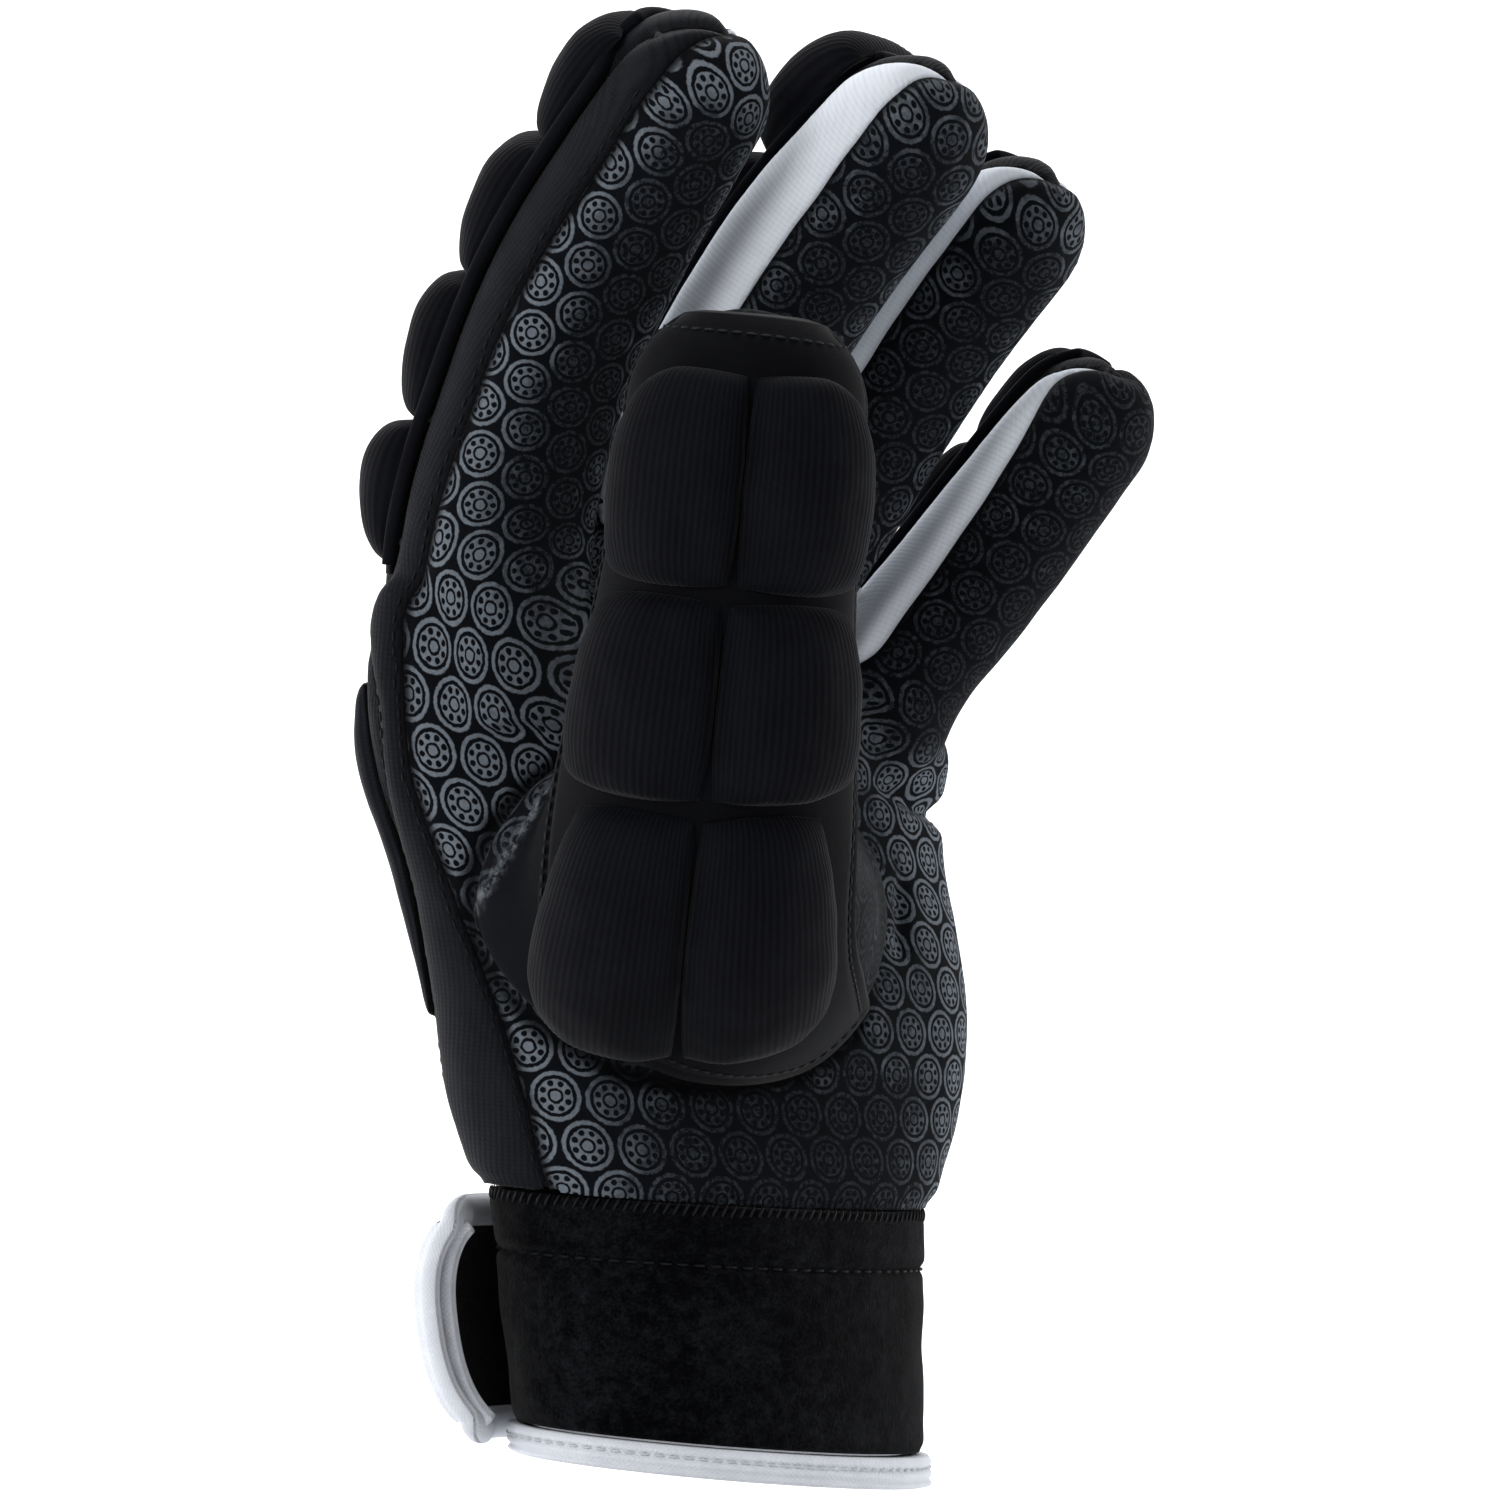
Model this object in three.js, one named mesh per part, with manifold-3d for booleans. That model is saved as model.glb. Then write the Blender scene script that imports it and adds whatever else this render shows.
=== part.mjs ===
// Left glove for indoor hockey, filled as when worn: printed palm, padded finger backs, raised padded thumb
// and a brushed cuff that closes with a flap.
// Millimetres. +Z runs from the cuff to the fingertips, the palm and the thumb's pads face -Y, and the
// little finger is on the +X side. The origin is the middle of the wrist opening at the hem.
import * as THREE from "three";
import { mergeVertices } from "three/addons/utils/BufferGeometryUtils.js";
import Module from "manifold-3d";

const wasm = await Module();
wasm.setup();

// Driving sizes
const GAP = 0.3; // clearance kept between neighbouring pieces
const WALL = 2.2; // palm leather and its lining, and every finger wall
const CUFF_WALL = 2.6; // brushed cuff fabric with its foam
const CUFF_TOP = 47; // height of the seam that joins cuff and hand
const HEM_HEIGHT = 6; // white binding round the wrist opening
const HEM_PROUD = 1.1; // how far that binding stands out from the cuff
const ARMOUR_BASE = 1.8; // sheet that the foam pads are sewn to
const THUMB_PAD_HEIGHT = 7;
const HAND_PAD_HEIGHT = 5.5;
const HAND_PAD_TAPER = 0.35; // height of the hand's back pad at its low end, as a share of that at its high end
const PAD_EDGE = 0.8; // height of a pad at its sewn edge
const PAD_SEAT = 0.5; // how far a pad lies off the sheet under it
const PAD_SPACE = 0.004; // half the groove between two finger pads, as a share of the finger's length
const PAD_INSET = 3; // degrees by which a finger pad stops short of its sheet's edges
const PAD_FULLNESS = 3; // a higher value keeps a pad at full height closer to its edge
const PAD_ROWS = 4;
const PAD_COLUMNS = 5;
const HAND_PAD_COLUMNS = 8;
const HAND_PAD_ROWS = 6;
const ARMOUR_LEAD = 0.01; // share of a finger by which its armour sheet starts before the first pad
const ARMOUR_END = 0.91; // the same at its end, where the cut runs on by WEDGE_RUN_ON
const FLAP_WALL = 2;
const FLAP_LIFT = 13; // how far the flap's free end bows away from the cuff
const FLAP_CURL = 3; // a higher value keeps the bow closer to the free end
const FLAP_ROWS = 5;
const FLAP_COLUMNS = 9;
const BINDING_RADIUS = 2.9;
const BINDING_SIDES = 8;
const BINDING_STEPS = 32;
const GAP_ANGLE = 1.4; // degrees that leave about GAP at a finger's wall
const HAND_GAP_ANGLE = 0.47; // the same at the hand's wall, which is three times as far out
const SEAM_REACH = 3; // how far a seam's cutting wedge runs past the wall
const WEDGE_TURN = 50; // widest step, in degrees, of a wedge's outer face
const WEDGE_RUN_ON = 6; // how far a wedge runs on past its first and last section
const SKIN_RUN_ON = 4; // how far a hollowing or clearing skin runs on past its open end
const STRIP_START = 0.1; // share of a finger, inside the hand, at which its strips of skin begin
const HAND_CUT_END = 0.97; // share of the hand at which its cutting wedges end
const BORE_PAST = 0.01; // share of the wrist by which a bore runs past its ring

const SAME_POINT = 1e-3; // points closer than this are one
const SHORT_EDGE = 0.12; // edges shorter than this are drawn together where panels were cut
const THIN_FACE = 0.03; // faces less high than this are joined to their neighbour
const HAND_SIDES = 16;
const THUMB_SIDES = 14;
const FINGER_SIDES = 12;
const HAND_STEPS = 4;
const THUMB_STEPS = 5;
const WRIST_STEPS = 2;
const FINGER_STEPS = 4;
const TIP_TURNS = [40, 75]; // degrees of the tip's rounding at which it has a section
const NEAR_STATION = 0.02; // sections closer than this share of the length are one
const CLEAR = 0.25; // clearance that a pad trimmed by its neighbour keeps
const HALVINGS = 30; // steps of the search for a height on a middle line

// Each row is one section of a limb: its middle, half width, half depth, and how far the width turns away
// from +X towards +Y. A lean tips the section towards +X and a pitch tips it towards the viewer, in degrees.
const HAND = [
  { x: -2, y: 0, z: 40, wide: 41.5, deep: 26, roll: 35, lean: 4, pitch: 0 },
  { x: -2, y: 0, z: 50, wide: 44.8, deep: 25.5, roll: 35, lean: 4, pitch: 0 },
  { x: -2.5, y: 0, z: 63, wide: 49.5, deep: 24, roll: 33, lean: 5, pitch: 0 },
  { x: -3.1, y: 0, z: 80, wide: 52.5, deep: 22.5, roll: 33, lean: 6, pitch: 0 },
  { x: -5.9, y: 0, z: 97, wide: 53.7, deep: 21, roll: 32, lean: 7, pitch: 0 },
  { x: -9.5, y: 0, z: 112, wide: 56, deep: 20, roll: 32, lean: 9, pitch: 0 },
  { x: -10.5, y: 0, z: 127, wide: 57.5, deep: 19, roll: 32, lean: 11, pitch: 0 },
  { x: -9.5, y: 0, z: 138, wide: 56.5, deep: 17, roll: 33, lean: 14, pitch: 0 },
  { x: -7, y: 0, z: 147, wide: 50, deep: 14.5, roll: 35, lean: 17, pitch: 0 },
];
const HAND_TOP = 9; // length of the rounded end between the finger roots

// Angles round a finger: 0 is its little-finger side, 90 the palm side, 180 the index side, 270 the back.
// Foam is the height of its pads over their sheet.
const FINGERS = {
  index: {
    tip: 13,
    rows: [
      { x: -38, y: -20, z: 128, wide: 15.5, deep: 15.5, roll: 50 },
      { x: -38.5, y: -21, z: 156, wide: 16.8, deep: 16.4, roll: 55 },
      { x: -32.3, y: -23, z: 183, wide: 16.4, deep: 15.6, roll: 60 },
      { x: -24, y: -27, z: 203, wide: 16.6, deep: 15.4, roll: 60 },
      { x: -13.8, y: -32, z: 220.5, wide: 15.8, deep: 14.8, roll: 60 },
      { x: -4.7, y: -37, z: 234, wide: 14.8, deep: 14, roll: 60 },
      { x: 4, y: -42, z: 245.2, wide: 13.6, deep: 13.2, roll: 60 },
    ],
    pads: [0.19, 0.362, 0.548, 0.74, 0.93],
    print: [40, 180],
    armour: [220, 322],
    foam: 6,
  },
  middle: {
    tip: 14,
    rows: [
      { x: -24, y: -7, z: 128, wide: 14, deep: 14, roll: 38 },
      { x: -13, y: -8, z: 154, wide: 14.6, deep: 14.6, roll: 38 },
      { x: -5, y: -9, z: 171, wide: 15, deep: 15, roll: 38 },
      { x: 3.5, y: -11, z: 188, wide: 15.2, deep: 15, roll: 38 },
      { x: 14.5, y: -16, z: 206, wide: 15.2, deep: 14.8, roll: 38 },
      { x: 27.5, y: -23, z: 222, wide: 14.8, deep: 14.2, roll: 38 },
      { x: 39.5, y: -31, z: 236, wide: 13.6, deep: 13, roll: 38 },
    ],
    pads: [0.19, 0.37, 0.56, 0.745, 0.91],
    print: [40, 160],
    armour: [232, 322],
    foam: 8.5,
  },
  ring: {
    tip: 13,
    rows: [
      { x: -4, y: 8, z: 126, wide: 13.4, deep: 13.4, roll: 38 },
      { x: 8.5, y: 10, z: 152, wide: 14, deep: 14, roll: 38 },
      { x: 18.5, y: 10, z: 169, wide: 14.4, deep: 14.2, roll: 38 },
      { x: 29, y: 8, z: 185, wide: 14.4, deep: 14, roll: 38 },
      { x: 38.5, y: 4, z: 198, wide: 14.2, deep: 13.6, roll: 38 },
      { x: 48.5, y: -2, z: 210, wide: 13.6, deep: 13, roll: 38 },
      { x: 58, y: -9, z: 220.5, wide: 12.6, deep: 12, roll: 38 },
    ],
    pads: [0.19, 0.37, 0.56, 0.745, 0.91],
    print: [40, 160],
    armour: [232, 322],
    foam: 6,
  },
  little: {
    tip: 12,
    rows: [
      { x: 16, y: 18, z: 114, wide: 12.6, deep: 12.6, roll: 38 },
      { x: 30, y: 21, z: 137, wide: 13.2, deep: 13, roll: 38 },
      { x: 42, y: 22, z: 152, wide: 13.2, deep: 12.8, roll: 38 },
      { x: 53.5, y: 20, z: 167, wide: 12.8, deep: 12.4, roll: 38 },
      { x: 62.5, y: 16, z: 178.5, wide: 12.2, deep: 11.8, roll: 38 },
      { x: 71, y: 11, z: 188.5, wide: 11, deep: 10.6, roll: 38 },
    ],
    pads: [0.27, 0.49, 0.71, 0.92],
    print: [-36, 161],
    armour: [228, 322],
    foam: 5.5,
  },
};
// Each white strip lines the facing sides of two fingers. It starts below their crotch, at these heights of
// the two middle lines: the second finger leans over, so its facing side is the higher one.
const CROTCHES = [
  { first: "index", second: "middle", firstFrom: 152, secondFrom: 146 },
  { first: "middle", second: "ring", firstFrom: 147, secondFrom: 137 },
  { first: "ring", second: "little", firstFrom: 132, secondFrom: 119 },
];
// The thumb grows out of the palm towards the viewer and turns up in front of the hand.
const THUMB = [
  { x: -6, y: -6, z: 94, wide: 34, deep: 31, roll: 0, lean: 0, pitch: 82 },
  { x: -6, y: -24, z: 97, wide: 32.5, deep: 28, roll: 0, lean: 0, pitch: 66 },
  { x: -5, y: -38, z: 104, wide: 28.5, deep: 25, roll: 0, lean: 1, pitch: 40 },
  { x: -2.5, y: -48, z: 118, wide: 24, deep: 21, roll: 0, lean: 3, pitch: 18 },
  { x: 0, y: -54, z: 138, wide: 20.8, deep: 18, roll: 0, lean: 5, pitch: 8 },
  { x: 2.5, y: -57, z: 160, wide: 18.8, deep: 16.4, roll: 0, lean: 5, pitch: 3 },
  { x: 4.5, y: -58, z: 180, wide: 18.2, deep: 15.4, roll: 0, lean: 5, pitch: 0 },
  { x: 5.5, y: -58, z: 193.5, wide: 17.6, deep: 14.6, roll: 0, lean: 5, pitch: 0 },
];
const THUMB_TIP = 12;
const THUMB_BASE_FROM = 0; // degrees round the thumb, 90 being its pads' side
const THUMB_BASE_TO = 180;
// Rows of thumb pads, from the heel to the tip, as shares of the thumb's length.
const THUMB_PADS = [
  { name: "bottom", from: 0.16, to: 0.41, split: 92, side: 54 },
  { name: "middle", from: 0.422, to: 0.655, split: 90, side: 68 },
  { name: "top", from: 0.667, to: 0.93, split: 88, side: 68 },
];
const THUMB_PAD_GROOVE = 2.4; // degrees between the two columns

const WRIST = [
  { x: 0.3, y: 0, z: -6, wide: 39, deep: 26.5, roll: 35, lean: 3.5, pitch: 0 },
  { x: 0, y: 0, z: 0, wide: 39, deep: 26.5, roll: 35, lean: 3.5, pitch: 0 },
  { x: -0.6, y: 0, z: 16, wide: 39.2, deep: 26.6, roll: 35, lean: 3.5, pitch: 0 },
  { x: -1.4, y: 0, z: 32, wide: 40.4, deep: 26.4, roll: 35, lean: 4, pitch: 0 },
  { x: -2, y: 0, z: 48, wide: 42, deep: 26, roll: 35, lean: 4, pitch: 0 },
];
const FLAP = { from: 184, to: 330, low: 6, high: 45 };
const FLAP_SEWN = 0.85; // past this share of its length the flap is sewn down to the cuff

// Pad on the back of the hand, thick over the knuckles: shares of the hand's length and angles round it.
const HAND_PAD = { from: 0.3, to: 0.81, start: 194, end: 320 };
// The black side panel lies between these angles round the hand at the index side.
const SIDE_PANEL = [
  { z: 40, from: 157, to: 208 },
  { z: 63, from: 152, to: 198 },
  { z: 80, from: 155, to: 192 },
  { z: 97, from: 162, to: 188 },
  { z: 112, from: 165, to: 186 },
  { z: 138, from: 165, to: 187 },
  { z: 147, from: 168, to: 198 },
];
const HAND_PRINT_END = 0; // the print wraps round the little-finger side to this angle

const FINISHES = {
  print: { color: 0x2b2d31, roughness: 0.85, metalness: 0 },
  knit: { color: 0x22242a, roughness: 0.75, metalness: 0 },
  white: { color: 0xd6dae2, roughness: 0.8, metalness: 0 },
  ribbed: { color: 0x101115, roughness: 0.9, metalness: 0 },
  brushed: { color: 0x15161a, roughness: 1, metalness: 0 },
};

const radians = THREE.MathUtils.degToRad;

// A closed mesh from points and triangles, turned so that its faces point out.
function closedMesh(points, triangles) {
  let volume = 0;
  for (const [a, b, c] of triangles) {
    volume += points[a].dot(points[b].clone().cross(points[c]));
  }
  const turned = volume < 0 ? triangles.map(([a, b, c]) => [a, c, b]) : triangles;
  const geometry = new THREE.BufferGeometry();
  const values = points.flatMap((p) => [p.x, p.y, p.z]);
  geometry.setAttribute("position", new THREE.Float32BufferAttribute(values, 3));
  geometry.setIndex(turned.flat());
  return geometry;
}

function solidOf(geometry) {
  const bare = geometry.clone();
  bare.deleteAttribute("normal");
  bare.deleteAttribute("uv");
  const merged = mergeVertices(bare, SAME_POINT);
  return new wasm.Manifold(
    new wasm.Mesh({
      numProp: 3,
      vertProperties: new Float32Array(merged.attributes.position.array),
      triVerts: new Uint32Array(merged.index.array),
    }),
  );
}

const largestBody = (solid) => solid.decompose().sort((a, b) => b.volume() - a.volume())[0];

function bareGeometry(solid) {
  const mesh = solid.getMesh();
  const geometry = new THREE.BufferGeometry();
  geometry.setAttribute("position", new THREE.BufferAttribute(mesh.vertProperties, 3));
  geometry.setIndex(new THREE.BufferAttribute(mesh.triVerts, 1));
  return geometry;
}

// A face's longest and shortest edges, by place, the shortest one's length and the face's height.
function measure(points, face) {
  const lengths = face.map((v, i) => points[v].distanceTo(points[face[(i + 1) % 3]]));
  const longest = lengths.indexOf(Math.max(...lengths));
  const shortest = lengths.indexOf(Math.min(...lengths));
  const area = new THREE.Triangle(...face.map((v) => points[v])).getArea();
  return { longest, shortest, short: lengths[shortest], height: (2 * area) / lengths[longest] };
}

// Draws a short edge together unless that would pinch the surface.
function drawTogether(faces, keep, lose) {
  const near = (v) => new Set(faces.filter((f) => f.includes(v)).flat());
  const around = near(lose);
  const shared = [...near(keep)].filter((v) => around.has(v) && v !== keep && v !== lose);
  if (shared.length !== 2) {
    return null;
  }
  const moved = faces.map((f) => f.map((v) => (v === lose ? keep : v)));
  return moved.filter((f) => new Set(f).size === 3);
}

// Turns the longest edge of a flat face to the other diagonal of the two faces beside it.
function turnEdge(faces, face, longest) {
  const [a, b, c] = [0, 1, 2].map((i) => face[(longest + i) % 3]);
  const other = faces.find((f) => f !== face && f.includes(a) && f.includes(b));
  const d = other.find((v) => v !== a && v !== b);
  if (faces.some((f) => f.includes(c) && f.includes(d))) {
    return null;
  }
  return [...faces.filter((f) => f !== face && f !== other), [a, d, c], [d, b, c]];
}

// The mesh without the short edges and flat faces that cutting leaves along a seam.
function withoutSlivers(geometry) {
  const position = geometry.attributes.position;
  const points = [];
  for (let i = 0; i < position.count; i++) {
    points.push(new THREE.Vector3().fromBufferAttribute(position, i));
  }
  const index = [...geometry.index.array];
  let faces = [];
  for (let i = 0; i < index.length; i += 3) {
    faces.push(index.slice(i, i + 3));
  }
  const left = new Set();
  for (;;) {
    const open = faces.filter((f) => !left.has(f.join()));
    const poor = open.map((face) => ({ face, ...measure(points, face) }));
    const worst = poor.find((f) => f.short < SHORT_EDGE) ?? poor.find((f) => f.height < THIN_FACE);
    if (!worst) {
      break;
    }
    const { face, shortest, longest } = worst;
    const better = worst.short < SHORT_EDGE
      ? drawTogether(faces, face[shortest], face[(shortest + 1) % 3])
      : turnEdge(faces, face, longest);
    left.add(face.join());
    faces = better ?? faces;
  }
  return closedMesh(points, faces);
}

// The largest body of a solid, as a geometry: slivers left along a seam are dropped, also those that only
// part from it once points closer than SAME_POINT are one.
function geometryOf(solid) {
  const whole = largestBody(solidOf(bareGeometry(largestBody(solid))));
  return bareGeometry(largestBody(solidOf(withoutSlivers(bareGeometry(whole)))));
}

const join = (solids) => solids.reduce((sum, next) => sum.add(next));

// Rings of equal length joined side by side, with both ends closed from each ring's first point.
function loft(rings) {
  const points = rings.flat();
  const triangles = [];
  const size = rings[0].length;
  for (let r = 0; r + 1 < rings.length; r++) {
    for (let i = 0; i < size; i++) {
      const a = r * size + i;
      const b = r * size + ((i + 1) % size);
      triangles.push([a, b, a + size], [b, b + size, a + size]);
    }
  }
  const last = (rings.length - 1) * size;
  for (let i = 1; i + 1 < size; i++) {
    triangles.push([0, i + 1, i], [last, last + i, last + i + 1]);
  }
  return closedMesh(points, triangles);
}

// A soft tube with an oval section that changes along its middle line and may end in a rounded tip.
class Limb {
  constructor(rows, tip = 0) {
    const through = (pick) => new THREE.CatmullRomCurve3(rows.map(pick), false, "catmullrom", 0.5);
    this.middle = new THREE.CatmullRomCurve3(rows.map((r) => new THREE.Vector3(r.x, r.y, r.z)));
    this.oval = through((r) => new THREE.Vector3(r.wide, r.deep, r.roll));
    this.aim = rows[0].lean === undefined ? null : through((r) => new THREE.Vector3(r.lean, r.pitch, 0));
    this.length = this.middle.getLength();
    this.tip = tip;
  }

  // Middle, half sizes and directions at a share of the length.
  at(share) {
    const t = this.middle.getUtoTmapping(share);
    const centre = this.middle.getPoint(t);
    const oval = this.oval.getPoint(t);
    const roll = radians(oval.z);
    let along = this.middle.getTangent(t);
    if (this.aim) {
      const aim = this.aim.getPoint(t);
      const lean = radians(aim.x);
      const pitch = radians(aim.y);
      along = new THREE.Vector3(Math.sin(lean) * Math.cos(pitch), -Math.sin(pitch),
        Math.cos(lean) * Math.cos(pitch));
    }
    const across = new THREE.Vector3(Math.cos(roll), Math.sin(roll), 0);
    across.addScaledVector(along, -across.dot(along)).normalize();
    const palmward = new THREE.Vector3().crossVectors(across, along);
    const left = this.tip ? Math.min(1, ((1 - share) * this.length) / this.tip) : 1;
    const round = Math.sqrt(1 - (1 - left) ** 2);
    return { centre, along, across, palmward, wide: oval.x, deep: oval.y, round };
  }

  // A point at an angle round the section, moved out from the wall, and moved along by a distance.
  point(share, degrees, out = 0, shift = 0) {
    const s = this.at(share);
    const angle = radians(degrees);
    const forward = out * Math.sqrt(1 - s.round ** 2) + shift;
    return s.centre
      .addScaledVector(s.along, forward)
      .addScaledVector(s.across, (s.wide + out) * s.round * Math.cos(angle))
      .addScaledVector(s.palmward, (s.deep + out) * s.round * Math.sin(angle));
  }

  // Shares of the length for the sections, closer together over the rounded tip. Walls and the wedges
  // that cut them share these stations, so a seam runs from section to section.
  shares(from, to, steps) {
    const body = this.tip ? 1 - this.tip / this.length : 1;
    const all = [];
    for (let i = 0; i <= steps; i++) {
      all.push((body * i) / steps);
    }
    if (this.tip) {
      for (const turn of TIP_TURNS) {
        all.push(1 - (this.tip * (1 - Math.sin(radians(turn)))) / this.length);
      }
    }
    const near = NEAR_STATION;
    return [from, ...all.filter((share) => share > from + near && share < to - near), to];
  }

  // The whole limb as a solid, its wall moved out or in, its open end run on by a length.
  solid(out, { sides = FINGER_SIDES, steps = FINGER_STEPS, from = 0, to = 1, runOn = 0 } = {}) {
    const rings = this.shares(from, to, steps).map((share, i) => {
      const ring = [];
      for (let k = 0; k < sides; k++) {
        ring.push(this.point(share, (360 * k) / sides, out, i === 0 ? -runOn : 0));
      }
      return ring;
    });
    return solidOf(loft(rings));
  }

  // A wedge from the middle line out past the wall, between two angles that may change along the limb.
  wedge(from, to, { start = 0, stop = 1, reach = SEAM_REACH, widen = 0, steps = FINGER_STEPS } = {}) {
    const value = (angle, share) => (typeof angle === "number" ? angle : angle(share));
    const rings = [];
    const stations = this.shares(start, stop, steps);
    for (const [i, share] of stations.entries()) {
      const s = this.at(share);
      const end = i === 0 ? -1 : i === stations.length - 1 ? 1 : 0;
      const middle = s.centre.clone().addScaledVector(s.along, end * WEDGE_RUN_ON);
      const first = value(from, share) - widen;
      const sweep = value(to, share) + widen - first;
      const ring = [middle];
      const turns = Math.max(2, Math.ceil(Math.abs(sweep - 2 * widen) / WEDGE_TURN));
      const past = 1 / Math.cos(radians(sweep / turns / 2));
      for (let k = 0; k <= turns; k++) {
        const angle = radians(first + (sweep * k) / turns);
        ring.push(
          middle
            .clone()
            .addScaledVector(s.across, (s.wide + reach) * past * Math.cos(angle))
            .addScaledVector(s.palmward, (s.deep + reach) * past * Math.sin(angle)),
        );
      }
      rings.push(ring);
    }
    return solidOf(loft(rings));
  }

  // A closed sheet on the wall: low and high are distances out from it, high a function of place if curved.
  sheet({ from, to, start, end, low, high, rows = PAD_ROWS, columns = PAD_COLUMNS }) {
    const height = typeof high === "number" ? () => high : high;
    const lift = typeof low === "number" ? () => low : low;
    const points = [];
    for (const side of [lift, height]) {
      for (let i = 0; i <= rows; i++) {
        for (let k = 0; k <= columns; k++) {
          const u = i / rows;
          const v = k / columns;
          points.push(this.point(from + (to - from) * u, start + (end - start) * v, side(u, v)));
        }
      }
    }
    const place = (side, i, k) => side * (rows + 1) * (columns + 1) + i * (columns + 1) + k;
    const triangles = [];
    const quad = (a, b, c, d) => triangles.push([a, b, c], [a, c, d]);
    for (let i = 0; i < rows; i++) {
      for (let k = 0; k < columns; k++) {
        quad(place(1, i, k), place(1, i + 1, k), place(1, i + 1, k + 1), place(1, i, k + 1));
        quad(place(0, i, k), place(0, i, k + 1), place(0, i + 1, k + 1), place(0, i + 1, k));
      }
    }
    for (let i = 0; i < rows; i++) {
      quad(place(0, i, 0), place(0, i + 1, 0), place(1, i + 1, 0), place(1, i, 0));
      quad(place(0, i + 1, columns), place(0, i, columns), place(1, i, columns), place(1, i + 1, columns));
    }
    for (let k = 0; k < columns; k++) {
      quad(place(0, 0, k + 1), place(0, 0, k), place(1, 0, k), place(1, 0, k + 1));
      quad(place(0, rows, k), place(0, rows, k + 1), place(1, rows, k + 1), place(1, rows, k));
    }
    return closedMesh(points, triangles);
  }
}

// Height of a foam pad over its sheet: full in the middle and rolled down to its sewn edge.
function padHeight(low, full) {
  const shoulder = (x) => Math.sqrt(1 - Math.abs(2 * x - 1) ** PAD_FULLNESS);
  return (u, v) => low + PAD_EDGE + (full - PAD_EDGE) * shoulder(u) * shoulder(v);
}

const glove = new THREE.Group();
glove.name = "indoor_hockey_glove";

function add(name, geometry, finish) {
  const mesh = new THREE.Mesh(geometry, new THREE.MeshStandardMaterial(FINISHES[finish]));
  mesh.name = name;
  glove.add(mesh);
}

const hand = new Limb(HAND, HAND_TOP);
const thumb = new Limb(THUMB, THUMB_TIP);
const wrist = new Limb(WRIST);
const fingers = Object.entries(FINGERS).map(([name, f]) => ({ name, ...f, limb: new Limb(f.rows, f.tip) }));

// The side panel's edges at a share of the hand's length.
function sideEdge(column) {
  return (share) => {
    const height = hand.at(share).centre.z;
    const after = SIDE_PANEL.findIndex((row) => row.z >= height);
    const upper = SIDE_PANEL[after < 0 ? SIDE_PANEL.length - 1 : Math.max(after, 1)];
    const lower = SIDE_PANEL[SIDE_PANEL.indexOf(upper) - 1];
    const part = THREE.MathUtils.clamp((height - lower.z) / (upper.z - lower.z), 0, 1);
    return THREE.MathUtils.lerp(lower[column], upper[column], part);
  };
}

function handSkin(out, runOn) {
  const palm = hand.solid(out, { sides: HAND_SIDES, steps: HAND_STEPS, from: handStart, runOn });
  return join([palm, ...fingers.map((f) => f.limb.solid(out))]);
}

// The share of a limb's length at which its middle line reaches a height.
function shareAtHeight(limb, height) {
  let low = 0;
  let high = 1;
  for (let i = 0; i < HALVINGS; i++) {
    const half = (low + high) / 2;
    if (limb.at(half).centre.z < height) {
      low = half;
    } else {
      high = half;
    }
  }
  return low;
}

const handStart = shareAtHeight(hand, CUFF_TOP);

// Cutting regions for the sewn panels. A widened one also takes the seam's gap from the panel beside it.
function cutOf(widened, angle) {
  return { widen: widened ? angle : 0, reach: SEAM_REACH + (widened ? GAP : 0) };
}

const handCut = (widened) => ({ ...cutOf(widened, HAND_GAP_ANGLE), stop: HAND_CUT_END, steps: HAND_STEPS });

function palmRegion(widened = false) {
  const cut = { ...cutOf(widened, GAP_ANGLE), start: STRIP_START };
  const strips = fingers.map((f) => f.limb.wedge(f.print[0], f.print[1], cut));
  return join([hand.wedge(HAND_PRINT_END, sideEdge("from"), handCut(widened)), ...strips]);
}

function sideRegion(widened = false) {
  const cut = { ...cutOf(widened, GAP_ANGLE), start: STRIP_START };
  const finger = fingers[0].limb.wedge(FINGERS.index.print[1], FINGERS.index.armour[0], cut);
  return finger.add(hand.wedge(sideEdge("from"), sideEdge("to"), handCut(widened)));
}

function fourchetteRegion(crotch, widened = false) {
  const strip = (name, height, from, to) => {
    const limb = fingers.find((f) => f.name === name).limb;
    return limb.wedge(from, to, { ...cutOf(widened, GAP_ANGLE), start: shareAtHeight(limb, height) });
  };
  const first = FINGERS[crotch.first];
  const second = FINGERS[crotch.second];
  const near = strip(crotch.first, crotch.firstFrom, first.armour[1] - 360, first.print[0]);
  return near.add(strip(crotch.second, crotch.secondFrom, second.print[1], second.armour[0]));
}

// Hand panels
const thumbSolid = (out) => thumb.solid(out, { sides: THUMB_SIDES, steps: THUMB_STEPS });
const thumbHole = thumbSolid(-WALL);
const skin = handSkin(0, 0).subtract(handSkin(-WALL, SKIN_RUN_ON));
const palmWide = palmRegion(true);
const sideWide = sideRegion(true);
const fourchettesWide = CROTCHES.map((crotch) => fourchetteRegion(crotch, true));

add("palm_panel", geometryOf(skin.intersect(palmRegion()).subtract(thumbHole)), "print");
add("index_side_panel", geometryOf(skin.intersect(sideRegion()).subtract(palmWide)), "knit");
for (const crotch of CROTCHES) {
  const region = fourchetteRegion(crotch).subtract(palmWide).subtract(sideWide);
  add(`fourchette_${crotch.first}_${crotch.second}`, geometryOf(skin.intersect(region)), "white");
}
const back = skin.subtract(palmWide).subtract(sideWide).subtract(join(fourchettesWide));
add("back_panel", geometryOf(back), "knit");

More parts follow.
